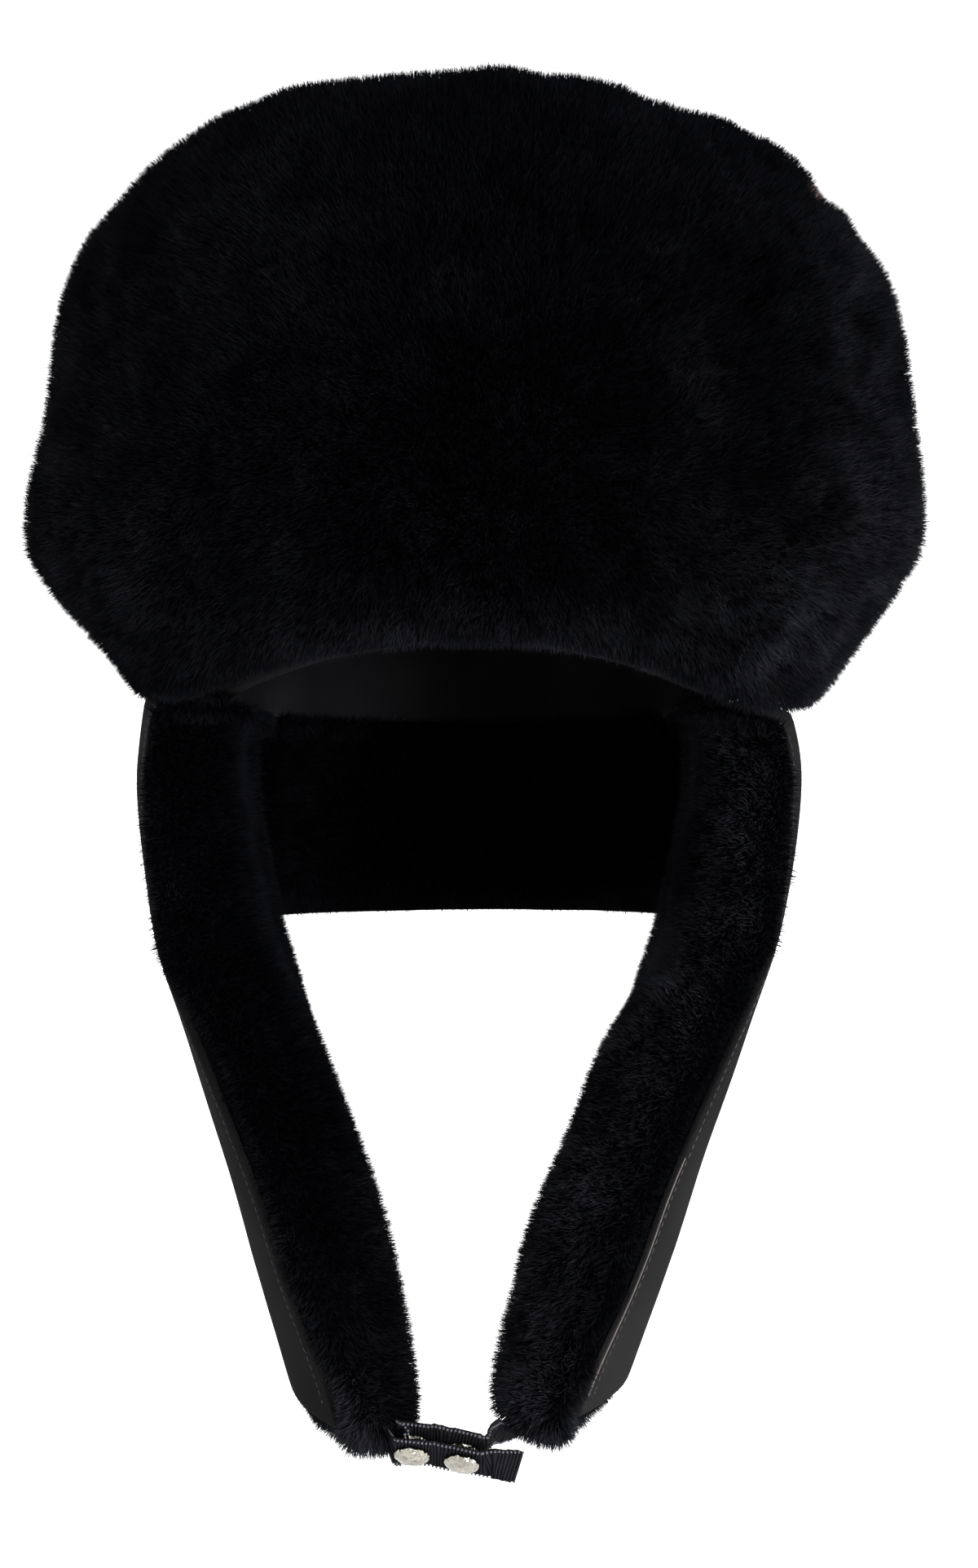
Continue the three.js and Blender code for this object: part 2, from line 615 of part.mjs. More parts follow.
function buildNapeFlap() {
  // The cloth closes on the ear flaps' cloth; the fur stops a little short of their fur.
  const seamEnd = 1 - SEAT_GAP / rimHalfWidth;
  const furEnd = 1 - (2.5 * FUR_EDGE) / (Math.PI * rimHalfWidth);
  const middles = easedSteps(18, 0.4).map((step) => (step * 2 - 1) * furEnd);
  const furSteps = { along: middles, down: SEAM_STEPS };
  const furOuter = napeSheet(furSteps, (point, inward) => point.addScaledVector(inward, SEAT_GAP / 2));
  const furInner = napeSheet(furSteps, (point, inward, along, down) => {
    const fur = readColumn(NAPE_ROWS, 'drop', 'fur', down) * NAPE_FUR;
    const round = shoulder(along / furEnd, 14) * endRound(down, 0.75);
    const tuft = tuftDepth(along * OPENING_DEPTH, down * NAPE_DROP);
    const thick = THREE.MathUtils.lerp(FUR_EDGE, fur - tuft, round);
    return point.addScaledVector(inward, thick + SEAT_GAP / 2);
  });
  addPiece('nape_flap_fur', sheetSolid(furOuter, furInner), 'fur');

  const clothSteps = { along: [-seamEnd, ...middles, seamEnd], down: furSteps.down };
  const clothInner = napeSheet(clothSteps, (point, inward) =>
    point.addScaledVector(inward, -SEAT_GAP / 2),
  );
  const clothOuter = napeSheet(clothSteps, (point, inward) =>
    point.addScaledVector(inward, -SEAT_GAP / 2 - SHELL_CLOTH),
  );
  addPiece('nape_flap_shell', sheetSolid(clothInner, clothOuter), 'cloth');
}

// Chin strap
const snapStack = 3 * SEAT_GAP + SOCKET_HEIGHT + STUD_BASE;
const snapSeatHalf = CAP_DIAMETER / 2 + 2 * SEAT_GAP;

const flapEndOut = earPlan(1).getPoint(0.5).x;
const strapTop = -2 * SEAT_GAP - EAR_FLAP_DROP - STRAP_THICKNESS / 2;

// Middle of the front ribbon's thickness, with the directions of its run, width and outward face.
function strapStation({ along, back, below, tilt, slope = 0 }) {
  const lean = THREE.MathUtils.degToRad(tilt);
  const fall = THREE.MathUtils.degToRad(slope);
  const run = new THREE.Vector3(Math.cos(fall), 0, -Math.sin(fall));
  const wide = new THREE.Vector3(0, -Math.sin(lean), Math.cos(lean));
  wide.addScaledVector(run, -wide.dot(run)).normalize();
  const hike = EAR_FLAP_HIKE * ((along + 1) / 2) ** 2;
  return {
    middle: new THREE.Vector3(
      along * flapEndOut - EAR_FLAP_SWING,
      back * EAR_FLAP_REACH,
      strapTop - below * STRAP_WIDTH + hike,
    ),
    run,
    wide,
    face: run.clone().cross(wide).normalize(),
  };
}

function snapStation(row) {
  const along = SNAPS_ALONG + (row.side * SNAP_SPACING) / 2 / flapEndOut;
  return strapStation({ ...row, along });
}

// Stations between the rows of a strap table, flat under each snap and between the two.
function ribbonStations(rows, offset) {
  const numbered = rows.map((row, index) => ({ ...row, place: index }));
  const count = (rows.length - 1) * 3;
  const snaps = SNAP_ROWS.map(snapStation);
  const seats = snaps.flatMap((snap) =>
    [-1, 1].map((end) => ({
      ...snap,
      middle: snap.middle.clone().addScaledVector(snap.run, end * snapSeatHalf),
    })),
  );
  const from = seats[0].middle.x - 1;
  const to = seats[seats.length - 1].middle.x + 1;
  const loose = Array.from({ length: count + 1 }, (_, index) => {
    const column = (name) => readColumn(numbered, 'place', name, index / 3);
    return strapStation({
      along: column('along'),
      back: column('back'),
      below: column('below'),
      tilt: column('tilt'),
    });
  }).filter(({ middle }) => middle.x < from || middle.x > to);
  const stations = [...loose, ...seats].sort((one, other) => one.middle.x - other.middle.x);
  return stations.map((station) => ({
    ...station,
    middle: station.middle.clone().addScaledVector(station.face, offset(station.middle.x)),
  }));
}

function ribbonSolid(stations) {
  const sheet = (side) =>
    stations.map(({ middle, face, wide }) =>
      [-0.5, 0.5].map((across) =>
        middle
          .clone()
          .addScaledVector(wide, across * STRAP_WIDTH)
          .addScaledVector(face, side * 0.5 * STRAP_THICKNESS),
      ),
    );
  return sheetSolid(sheet(-1), sheet(1));
}

function buildStraps() {
  addPiece('chin_strap_front', ribbonSolid(ribbonStations(STRAP_FRONT_ROWS, () => 0)), 'ribbon');
  // The back ribbon lies behind the snaps and comes back to the front ribbon's level at its own flap.
  const behind = snapStack + STRAP_THICKNESS;
  const end = flapEndOut - EAR_FLAP_SWING;
  const offset = (x) => -behind * smooth(end, 0.4 * end, x);
  addPiece('chin_strap_back', ribbonSolid(ribbonStations(STRAP_BACK_ROWS, offset)), 'ribbon');
}

// Snaps

function turned(profile, sides) {
  const lathe = new THREE.LatheGeometry(profile.map(([r, y]) => new THREE.Vector2(r, y)), sides);
  lathe.deleteAttribute('normal');
  lathe.deleteAttribute('uv');
  return faceOutward(dropSlivers(mergeVertices(lathe, 1e-4)));
}

function dropSlivers(geometry) {
  const index = geometry.getIndex();
  const kept = [];
  for (let k = 0; k < index.count; k += 3) {
    const [a, b, c] = [index.getX(k), index.getX(k + 1), index.getX(k + 2)];
    if (a !== b && b !== c && c !== a) kept.push(a, b, c);
  }
  geometry.setIndex(kept);
  return geometry;
}

function buildSnaps() {
  const capRadius = CAP_DIAMETER / 2;
  const socketRadius = SOCKET_DIAMETER / 2;
  const studRadius = STUD_DIAMETER / 2;
  const knobRadius = STUD_KNOB / 2;
  const recess = knobRadius + SEAT_GAP;
  const cap = [
    [0, 0],
    [capRadius * 0.9, 0],
    [capRadius, CAP_HEIGHT * 0.22],
    [capRadius * 0.93, CAP_HEIGHT * 0.5],
    [capRadius * 0.72, CAP_HEIGHT * 0.78],
    [capRadius * 0.4, CAP_HEIGHT * 0.95],
    [0, CAP_HEIGHT],
  ];
  const socketFloor = SOCKET_HEIGHT * 0.35;
  const socket = [
    [0, 0],
    [socketRadius * 0.92, 0],
    [socketRadius, SOCKET_HEIGHT * 0.4],
    [socketRadius * 0.8, SOCKET_HEIGHT],
    [recess, SOCKET_HEIGHT],
    [recess, socketFloor],
    [0, socketFloor],
  ];
  const knobTop = STUD_BASE + SOCKET_HEIGHT - socketFloor;
  const stud = [
    [0, 0],
    [studRadius, 0],
    [studRadius * 0.9, STUD_BASE],
    [knobRadius * 0.85, STUD_BASE],
    [knobRadius, (STUD_BASE + knobTop) / 2],
    [knobRadius * 0.7, knobTop],
    [0, knobTop],
  ];
  const frontFace = STRAP_THICKNESS / 2 + SEAT_GAP;
  const backFace = frontFace - SEAT_GAP + snapStack;
  SNAP_ROWS.forEach((row, index) => {
    const { middle, face } = snapStation(row);
    const place = (name, profile, sides, out, facing) => {
      const mesh = addPiece(`${name}_${index + 1}`, turned(profile, sides), 'metal');
      mesh.position.copy(middle).addScaledVector(face, out);
      mesh.quaternion.setFromUnitVectors(new THREE.Vector3(0, 1, 0), face.clone().multiplyScalar(facing));
    };
    place('snap_cap', cap, 24, frontFace, 1);
    place('snap_socket', socket, 16, -frontFace, -1);
    place('snap_stud', stud, 16, -(backFace - SEAT_GAP), 1);
  });
}

addPiece('crown', buildCrown(), 'cloth');
buildFrontFlap();
buildEarFlap(-1, 'right');
buildEarFlap(1, 'left');
buildNapeFlap();
buildStraps();
buildSnaps();

export default object;
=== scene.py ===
"""Looks of a black fur ushanka: pile, cloth, grosgrain strap, snaps, floor, light and camera."""
import math

import bmesh
import bpy
import numpy as np
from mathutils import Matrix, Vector
from mathutils.bvhtree import BVHTree


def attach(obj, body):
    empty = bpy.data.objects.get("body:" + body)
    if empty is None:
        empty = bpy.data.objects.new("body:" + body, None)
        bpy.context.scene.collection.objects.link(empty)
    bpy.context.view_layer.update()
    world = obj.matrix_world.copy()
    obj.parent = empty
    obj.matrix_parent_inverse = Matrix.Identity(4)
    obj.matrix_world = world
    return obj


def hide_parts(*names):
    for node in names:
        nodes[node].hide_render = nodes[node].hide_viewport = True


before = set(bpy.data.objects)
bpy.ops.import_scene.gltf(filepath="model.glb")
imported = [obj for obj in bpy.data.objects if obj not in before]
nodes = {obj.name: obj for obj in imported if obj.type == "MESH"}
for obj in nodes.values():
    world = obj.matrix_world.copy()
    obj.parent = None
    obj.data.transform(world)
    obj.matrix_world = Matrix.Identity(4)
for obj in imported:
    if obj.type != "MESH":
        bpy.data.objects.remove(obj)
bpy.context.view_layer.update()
scene = bpy.context.scene

MM = 0.001
SHARP_EDGE = math.radians(50)
MERGE_REACH = 0.02

# The camera's place in metres and its lens in millimetres
CAMERA = {"place": (0.0066, -0.641, -0.026), "lens": 42}

# Fur pile, in millimetres, and in blades per square millimetre
PILE_LENGTH = 5.4
PILE_WIDTH = 0.46
PILE_STAND_OUT = 1.4
SHORTEST_PILE = 2.8
CLUMP_SIZE = 15
FINE_CLUMP_SIZE = 3.6
# Distance to the cloth where the pile thins out, and where the fur may lap over its edge
THINS = {"bare": 0.8, "full": 2.5}
BESIDE = {"far": 9, "near": 3}
PAD_SHARE = 0.36
END_DENSER = 0.9

# Painted highlights and painted shade on the nap, as patches where it catches the light, in millimetres seen
# from the front. Lift is a share of white; a negative lift is painted shade.
NAP_LIGHT_FRONT = [
    {"x": 92, "z": 32, "wide": 34, "high": 26, "lift": 1.15},
    {"x": 124, "z": 58, "wide": 24, "high": 30, "lift": 0.7},
    {"x": 104, "z": 12, "wide": 26, "high": 14, "lift": 0.45},
    {"x": 120, "z": 118, "wide": 16, "high": 40, "lift": 0.45},
    {"x": 69, "z": 86, "wide": 9, "high": 15, "lift": 0.4},
    {"x": 40, "z": 62, "wide": 24, "high": 14, "lift": 0.14},
    {"x": 2, "z": 170, "wide": 60, "high": 34, "lift": -0.13},
    {"x": -50, "z": 140, "wide": 30, "high": 26, "lift": 0.06},
    {"x": -66, "z": 118, "wide": 38, "high": 40, "lift": 0.14},
    {"x": -118, "z": 92, "wide": 18, "high": 48, "lift": 0.22},
    {"x": -112, "z": 30, "wide": 26, "high": 24, "lift": 0.3},
    {"x": -30, "z": 16, "wide": 40, "high": 8, "lift": 0.28},
    {"x": -5, "z": 40, "wide": 60, "high": 20, "lift": 0.1},
    {"x": 40, "z": 14, "wide": 40, "high": 9, "lift": 0.4},
]
# Painted highlights and shade on the ear flaps' nap, stronger on the left flap
NAP_LIGHT_EAR_RIGHT = [
    {"x": -97, "z": -58, "wide": 8, "high": 30, "lift": 0.4},
    {"x": -89, "z": -108, "wide": 8, "high": 26, "lift": 0.5},
    {"x": -74, "z": -150, "wide": 8, "high": 20, "lift": 0.5},
    {"x": -60, "z": -182, "wide": 9, "high": 24, "lift": 0.8},
    {"x": -30, "z": -170, "wide": 8, "high": 30, "lift": 0.3},
    {"x": -36, "z": -222, "wide": 24, "high": 26, "lift": 1.3},
    {"x": -64, "z": -36, "wide": 11, "high": 50, "lift": -0.16},
]
NAP_LIGHT_EAR_LEFT = [
    {"x": 88, "z": -34, "wide": 11, "high": 32, "lift": 1.7},
    {"x": 78, "z": -72, "wide": 9, "high": 9, "lift": 1.1},
    {"x": 66, "z": -92, "wide": 10, "high": 18, "lift": 1.1},
    {"x": 50, "z": -118, "wide": 11, "high": 20, "lift": 1.1},
    {"x": 34, "z": -148, "wide": 12, "high": 22, "lift": 1.1},
    {"x": 23, "z": -180, "wide": 12, "high": 22, "lift": 1.0},
    {"x": 24, "z": -216, "wide": 20, "high": 26, "lift": 1.4},
    {"x": 54, "z": -160, "wide": 9, "high": 34, "lift": 0.3},
    {"x": 64, "z": -34, "wide": 11, "high": 40, "lift": -0.16},
]
NAP_LIGHT_GROUND = 0.26

# Creases where the fur parts, from one place to another, in millimetres seen from the front
CREASES_FRONT = [
    {"x0": 80, "z0": 58, "x1": 101, "z1": 40, "wide": 3.5, "depth": 2.2},
    {"x0": 101, "z0": 40, "x1": 110, "z1": 26, "wide": 3, "depth": 1.8},
    {"x0": 93, "z0": 8, "x1": 99, "z1": 20, "wide": 4, "depth": 2.4},
    {"x0": -92, "z0": 60, "x1": -70, "z1": 48, "wide": 5, "depth": 1.2},
]
CREASES_EAR_LEFT = [
    {"x0": 54, "z0": -64, "x1": 72, "z1": -60, "wide": 4, "depth": 3.4},
    {"x0": 72, "z0": -60, "x1": 82, "z1": -66, "wide": 4, "depth": 1.8},
    {"x0": 38, "z0": -172, "x1": 34, "z1": -196, "wide": 4, "depth": 2},
]
NO_ROWS = []

# A bare spot at a nick of the front flap's upper edge, where the pale hide shows, in millimetres
HIDE_NICK = {"x": 109, "y": -93, "z": 153.5, "reach": 3.2}
HIDE_COLOUR = (0.45, 0.3, 0.27)

# Dips between the soft scallops of the front flap's upper edge, in millimetres seen from the front
DIPS_FRONT = [
    {"x": 22, "z": 182, "reach": 6, "depth": 1.8},
    {"x": 37, "z": 181, "reach": 5, "depth": 1.5},
    {"x": 52, "z": 178, "reach": 6, "depth": 2},
    {"x": 66, "z": 175, "reach": 5, "depth": 1.5},
    {"x": 84, "z": 169, "reach": 6, "depth": 2},
    {"x": 109, "z": 153, "reach": 5, "depth": 3.4},
    {"x": 124, "z": 144, "reach": 6, "depth": 2.2},
    {"x": -62, "z": 174, "reach": 7, "depth": 1.2},
    {"x": -104, "z": 150, "reach": 9, "depth": 1.2},
]
DIP_CENTRE = {"x": 0, "z": 90}

# How much fuller the ear flaps' fur is at their lower ends, in millimetres
END_FULLER = {"from": -196, "to": -220, "inner": 18, "outer": 44, "inward": 2.5, "forward": 15}
END_DOWN = {-1: {"inner": 7.5, "outer": 1.5}, 1: {"inner": 5, "outer": 0}}

# Up from one height to another the ear flaps' fur laps further over the edge of their cloth
LAP = {"from": -110, "to": -60, "out": 4.6, "forward": 3.2}

# The right ear flap's upper edge stands up under the front flap's corner
RIM_RISE = {"from": -18, "to": -3, "beyond": 78, "full": 92, "rear": 6, "front": -22, "up": 6.5}

# Painted light on the ear flaps' cloth: paler places where the light falls
SHELL_LIGHT_PATCHES = [
    {"x": 42, "z": -205, "wide": 26, "high": 40, "lift": 0.5},
    {"x": 72, "z": -150, "wide": 16, "high": 30, "lift": 0.2},
]

# Cloth, hems and stitches, in millimetres
SEAM_REACH = 0.8
SEAM_BAND = 4
# The crown's rim rises from its place at the back to the front
CROWN_RIM = {"from": -40, "to": -110, "rise": 16}
HEM_ROLL = {"radius": 0.45, "from": -140, "to": -214, "inset": 1.3, "lift": -0.2}
HEM_INSET = 4.0
HEM_LIFT = 0.15
HEM_ROWS = 46
STITCH_PITCH = 2.8
STITCH_LENGTH = 2.0
STITCH_THICK = 0.42
WEAVE_PITCH = 0.55
GORES = 6
GORE_STITCHES = {"apart": 1.7, "low": 6, "high": 84, "steps": 60, "lift": 0.1}

# Ribbon and snaps, in millimetres
RIBBON_WIDTH = 16
RIBBON_THICK = 1.2
FOLDED_END = 8
RIB_PITCH = 1.0
RIB_RELIEF = 0.34
RIBBON_SLICES = 90
STEPS_A_RIB = 6
COLUMNS = np.array([-0.5, -0.49, -0.44, -0.25, 0, 0.25, 0.44, 0.49, 0.5])
PICOTS = {"pitch": 1.2, "long": 0.75, "thick": 0.85}
# Where each ribbon's root turns back into the fur, from one place across the hat to another
ROOTS = {
    "chin_strap_front": {"from": -22, "to": -28, "end": -40, "back": 17, "up": 5, "slide": 0},
    "chin_strap_back": {"from": 4, "to": 14, "end": 28, "back": 12, "up": -3, "slide": 3},
}
ROOT_END_UP = 5
# The back ribbon's free end
TAIL = {"from": -19.5, "to": -24, "back": 7}
CAP = {"radius": 5.4, "height": 2.5, "lumps": 0.16, "lump_size": 2.4}
# The cap's section, as shares of its radius and height
CAP_SECTION = [
    (0, 0), (0.9, 0), (0.97, 0.05), (1, 0.16), (0.985, 0.3), (0.93, 0.44), (0.84, 0.6),
    (0.72, 0.75), (0.58, 0.86), (0.42, 0.94), (0.25, 0.985), (0.1, 1.0), (0, 1.0),
]
CAP_SIDES = 48

# Floor and backdrop as a turned section, and the lights, in metres and watts
STAGE_SECTION = [(0, -0.62), (1.6, -0.62), (1.95, -0.6), (2.2, -0.5), (2.35, -0.3), (2.4, 0), (2.4, 3.2)]
STAGE_SIDES = 96
AIR_STRENGTH = 0.55
LIGHTS = [
    {"name": "key_right", "place": (0.75, -0.95, -0.15), "aim": (0.02, 0, 0), "size": 0.5, "power": 26},
    {"name": "fill_left", "place": (-1.1, -0.9, 0.4), "aim": (0, 0, 0), "size": 0.9, "power": 9},
    {"name": "top_back", "place": (0.2, 1.0, 1.3), "aim": (0, 0, 0), "size": 1.2, "power": 14},
]


# Camera

def make_camera():
    data = bpy.data.cameras.new("hat_camera")
    data.lens = CAMERA["lens"]
    camera = bpy.data.objects.new("hat_camera", data)
    camera.location = CAMERA["place"]
    camera.rotation_euler = (math.radians(90), 0, 0)
    scene.collection.objects.link(camera)
    scene.camera = camera


# Mesh helpers

def new_piece(name, mesh):
    piece = bpy.data.objects.new(name, mesh)
    scene.collection.objects.link(piece)
    return piece


def mesh_from(name, points, faces):
    mesh = bpy.data.meshes.new(name)
    mesh.from_pydata([tuple(p) for p in points], [], faces)
    mesh.validate()
    mesh.update()
    return mesh


def smooth(mesh):
    mesh.polygons.foreach_set("use_smooth", [True] * len(mesh.polygons))


def face_outward(mesh, merge=0):
    body = bmesh.new()
    body.from_mesh(mesh)
    if merge:
        bmesh.ops.remove_doubles(body, verts=body.verts, dist=merge)
    bmesh.ops.recalc_face_normals(body, faces=body.faces)
    body.to_mesh(mesh)
    body.free()


def turned_faces(rings, sides):
    """Quads between the rings of a turned form."""
    faces = []
    for i in range(rings - 1):
        for k in range(sides):
            a, b = i * sides + k, i * sides + (k + 1) % sides
            faces.append((a, b, b + sides, a + sides))
    return faces


def stand_for(piece, node_name):
    """The piece rides on the hat and takes a CAD node's place, and the node is hidden."""
    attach(piece, "root")
    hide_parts(node_name)


def own_trim(piece):
    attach(piece, "root")


def settle(piece):
    """The piece's modifiers become its plain mesh."""
    shape = piece.evaluated_get(bpy.context.evaluated_depsgraph_get())
    mesh = bpy.data.meshes.new_from_object(shape)
    mesh.name = piece.name
    piece.modifiers.clear()
    piece.data = mesh
    return piece


def merged_copy(node_name, name, crease=0.0):
    """A new piece with a CAD node's form, its points merged and its triangles paired into quads."""
    body = bmesh.new()
    body.from_mesh(nodes[node_name].data)
    bmesh.ops.remove_doubles(body, verts=body.verts, dist=MERGE_REACH * MM)
    bmesh.ops.join_triangles(
        body, faces=body.faces, angle_face_threshold=math.pi, angle_shape_threshold=math.pi
    )
    sharp = body.edges.layers.float.new("crease_edge")
    for edge in body.edges:
        edge[sharp] = crease if edge.calc_face_angle(0) > SHARP_EDGE else 0
    mesh = bpy.data.meshes.new(name)
    body.to_mesh(mesh)
    body.free()
    smooth(mesh)
    return new_piece(name, mesh)


def subdivided(piece, levels):
    rounding = piece.modifiers.new("rounding", "SUBSURF")
    rounding.levels = levels
    rounding.render_levels = levels
    return settle(piece)


def places(mesh):
    out = np.zeros(len(mesh.vertices) * 3)
    mesh.vertices.foreach_get("co", out)
    return out.reshape(-1, 3)


def normals(mesh):
    out = np.zeros(len(mesh.vertices) * 3)
    mesh.vertices.foreach_get("normal", out)
    return out.reshape(-1, 3)


def move_to(mesh, points):
    mesh.vertices.foreach_set("co", points.ravel())
    mesh.update()


def store(mesh, name, values, kind="FLOAT"):
    attribute = mesh.attributes.new(name, kind, "POINT")
    key = "vector" if kind == "FLOAT_VECTOR" else "value"
    attribute.data.foreach_set(key, np.asarray(values, np.float32).ravel())


def surface_of(mesh):
    return BVHTree.FromPolygons(
        [v.co for v in mesh.vertices], [tuple(p.vertices) for p in mesh.polygons]
    )


def soft_step(low, high, value):
    t = np.clip((value - low) / (high - low), 0, 1)
    return t * t * (3 - 2 * t)


def swell(points, size, seed):
    """Smooth lumps between -1 and 1, about size metres across."""
    turn = 2 * math.pi / size
    spin = np.random.default_rng(seed)
    total = np.zeros(len(points))
    for _ in range(7):
        way = spin.normal(size=3)
        way /= np.linalg.norm(way)
        total += np.sin(points @ way * turn * spin.uniform(0.55, 1.3) + spin.uniform(0, 2 * math.pi))
    return total / 3.5


# Shader helpers

VALUE = "NodeSocketFloat"


def add_node(tree, kind, values=None, **settings):
    """A new node. Each input named in values takes another node's output or a plain value."""
    node = tree.nodes.new(kind)
    for key, value in settings.items():
        setattr(node, key, value)
    for key, value in (values or {}).items():
        if isinstance(value, bpy.types.NodeSocket):
            tree.links.new(value, node.inputs[key])
        elif value is not None:
            node.inputs[key].default_value = value
    return node


def new_group(name, kind, inputs, outputs):
    """A node group, what it is given by name, and its node for results."""
    group = bpy.data.node_groups.new(name, kind)
    for label, socket, default in inputs:
        made = group.interface.new_socket(label, in_out="INPUT", socket_type=socket)
        if default is not None:
            made.default_value = default
    for label, socket in outputs:
        group.interface.new_socket(label, in_out="OUTPUT", socket_type=socket)
    given = group.nodes.new("NodeGroupInput").outputs
    return group, given, group.nodes.new("NodeGroupOutput")


def mix_colours(tree, factor, first, second):
    values = {0: factor, 6: first, 7: second}
    return add_node(tree, "ShaderNodeMix", values, data_type="RGBA").outputs[2]


def maths(tree, operation, first, second=None):
    return add_node(tree, "ShaderNodeMath", {0: first, 1: second}, operation=operation).outputs[0]


def noise(tree, place, scale, detail, roughness=0.5, distortion=0.0):
    return add_node(tree, "ShaderNodeTexNoise", {
        "Vector": place, "Scale": scale, "Detail": detail, "Roughness": roughness, "Distortion": distortion,
    })


def fur_tone_group():
    """Colour along a hair: dark at its root, lighter at its tip, where painted highlights show the nap lying
    to the light.
    """
    group, given, result = new_group("fur_tone", "ShaderNodeTree", [
        ("Place", "NodeSocketVector", None), ("Along", VALUE, 0.0),
        ("Shade", VALUE, 0.5), ("Painted Nap Light", VALUE, 0.5),
        ("Root", "NodeSocketColor", (0, 0, 0, 1)), ("Tip", "NodeSocketColor", (0.02, 0.02, 0.02, 1)),
        ("Cloud Scale", VALUE, 60.0),
    ], [("Color", "NodeSocketColor"), ("Mask", VALUE)])
    cloud = noise(group, given["Place"], given["Cloud Scale"], 6.0, 0.65, 0.3)
    spread = {0: cloud.outputs[0], 1: 0.34, 2: 0.68, 3: 0.35, 4: 1.35}
    uneven = add_node(group, "ShaderNodeMapRange", spread).outputs[0]
    lift = maths(group, "MULTIPLY", given["Painted Nap Light"], uneven)
    single = maths(group, "ADD", maths(group, "MULTIPLY", given["Shade"], 0.7), 0.35)
    rise = maths(group, "POWER", given["Along"], 1.5)
    strength = maths(group, "MULTIPLY", maths(group, "MULTIPLY", rise, single), lift)
    group.links.new(mix_colours(group, strength, given["Root"], given["Tip"]), result.inputs["Color"])
    group.links.new(strength, result.inputs["Mask"])
    return group


def weave_group():
    """Plain weave read from a UV map in metres: a height and a thread mask."""
    group, given, result = new_group(
        "cloth_weave", "ShaderNodeTree",
        [("Place", "NodeSocketVector", None), ("Pitch", VALUE, WEAVE_PITCH * MM)],
        [("Height", VALUE), ("Mask", VALUE)],
    )
    split = add_node(group, "ShaderNodeSeparateXYZ", {0: given["Place"]})
    waves = []
    for axis in (0, 1):
        turns = maths(group, "DIVIDE", split.outputs[axis], given["Pitch"])
        waves.append(maths(group, "SINE", maths(group, "MULTIPLY", turns, 2 * math.pi)))
    both = maths(group, "MULTIPLY", *waves)
    height = maths(group, "ADD", maths(group, "MULTIPLY", both, 0.5), 0.5)
    slub = noise(group, given["Place"], 900.0, 3.0)
    group.links.new(height, result.inputs["Height"])
    group.links.new(maths(group, "MULTIPLY", height, slub.outputs[0]), result.inputs["Mask"])
    return group


def wear_group():
    """A faint cloudy wear that lightens a colour unevenly."""
    group, given, result = new_group(
        "handled_wear", "ShaderNodeTree",
        [("Place", "NodeSocketVector", None), ("Scale", VALUE, 40.0)],
        [("Mask", VALUE)],
    )
    cloud = noise(group, given["Place"], given["Scale"], 6.0, 0.6)
    spread = add_node(group, "ShaderNodeMapRange", {0: cloud.outputs[0], 1: 0.4, 2: 0.72})
    group.links.new(spread.outputs[0], result.inputs["Mask"])
    return group


def new_material(name, roughness, metallic=0.0):
    material = bpy.data.materials.new(name)
    material.use_nodes = True
    tree = material.node_tree
    shader = tree.nodes["Principled BSDF"]
    shader.inputs["Roughness"].default_value = roughness
    shader.inputs["Metallic"].default_value = metallic
    return material, tree, shader


def own_place(tree):
    return add_node(tree, "ShaderNodeTexCoord").outputs["Object"]


def read_attribute(tree, name):
    return add_node(tree, "ShaderNodeAttribute", attribute_name=name).outputs["Fac"]


def worn(tree, scale):
    values = {"Place": own_place(tree), "Scale": scale}
    return add_node(tree, "ShaderNodeGroup", values, node_tree=WEAR).outputs["Mask"]


def bump_onto(tree, shader, height, strength, distance):
    values = {"Height": height, "Strength": strength, "Distance": distance}
    bump = add_node(tree, "ShaderNodeBump", values)
    tree.links.new(bump.outputs[0], shader.inputs["Normal"])


def fur_material(name, root, tip, cloud_scale):
    material, tree, shader = new_material(name, 0.7)
    shader.inputs["Specular IOR Level"].default_value = 0.008
    # The nap light attribute paints highlights and shade onto the hair tips
    tone = add_node(tree, "ShaderNodeGroup", {
        "Place": own_place(tree), "Cloud Scale": cloud_scale, "Root": (*root, 1), "Tip": (*tip, 1),
        "Along": read_attribute(tree, "along"), "Shade": read_attribute(tree, "shade"),
        "Painted Nap Light": read_attribute(tree, "painted_nap_light"),
    }, node_tree=FUR_TONE)
    skin = mix_colours(tree, read_attribute(tree, "hide"), tone.outputs["Color"], (*HIDE_COLOUR, 1))
    tree.links.new(skin, shader.inputs["Base Color"])
    return material


def cloth_material(name, dark, light, roughness, pitch, wear_scale):
    material, tree, shader = new_material(name, roughness)
    shader.inputs["Specular IOR Level"].default_value = 0.006
    uv = add_node(tree, "ShaderNodeUVMap", uv_map="cloth").outputs[0]
    weave = add_node(tree, "ShaderNodeGroup", {"Place": uv, "Pitch": pitch}, node_tree=WEAVE)
    threads = mix_colours(tree, weave.outputs["Mask"], (*dark, 1), (*light, 1))
    faint = maths(tree, "MULTIPLY", worn(tree, wear_scale), 0.15)
    # Besides the faint wear, the painted light attribute adds painted light patches and painted highlights
    # on rib crests
    share = maths(tree, "ADD", faint, read_attribute(tree, "painted_light"))
    lifted = tuple(min(1, 2.6 * c) for c in light)
    tree.links.new(mix_colours(tree, share, threads, (*lifted, 1)), shader.inputs["Base Color"])
    bump_onto(tree, shader, weave.outputs["Height"], 0.35, 0.0002)
    return material


def thread_material(name, colour):
    material, tree, shader = new_material(name, 0.6)
    shader.inputs["Specular IOR Level"].default_value = 0.3
    lifted = tuple(min(1, 2 * c) for c in colour)
    tone = mix_colours(tree, worn(tree, 700.0), (*colour, 1), (*lifted, 1))
    tree.links.new(tone, shader.inputs["Base Color"])
    return material


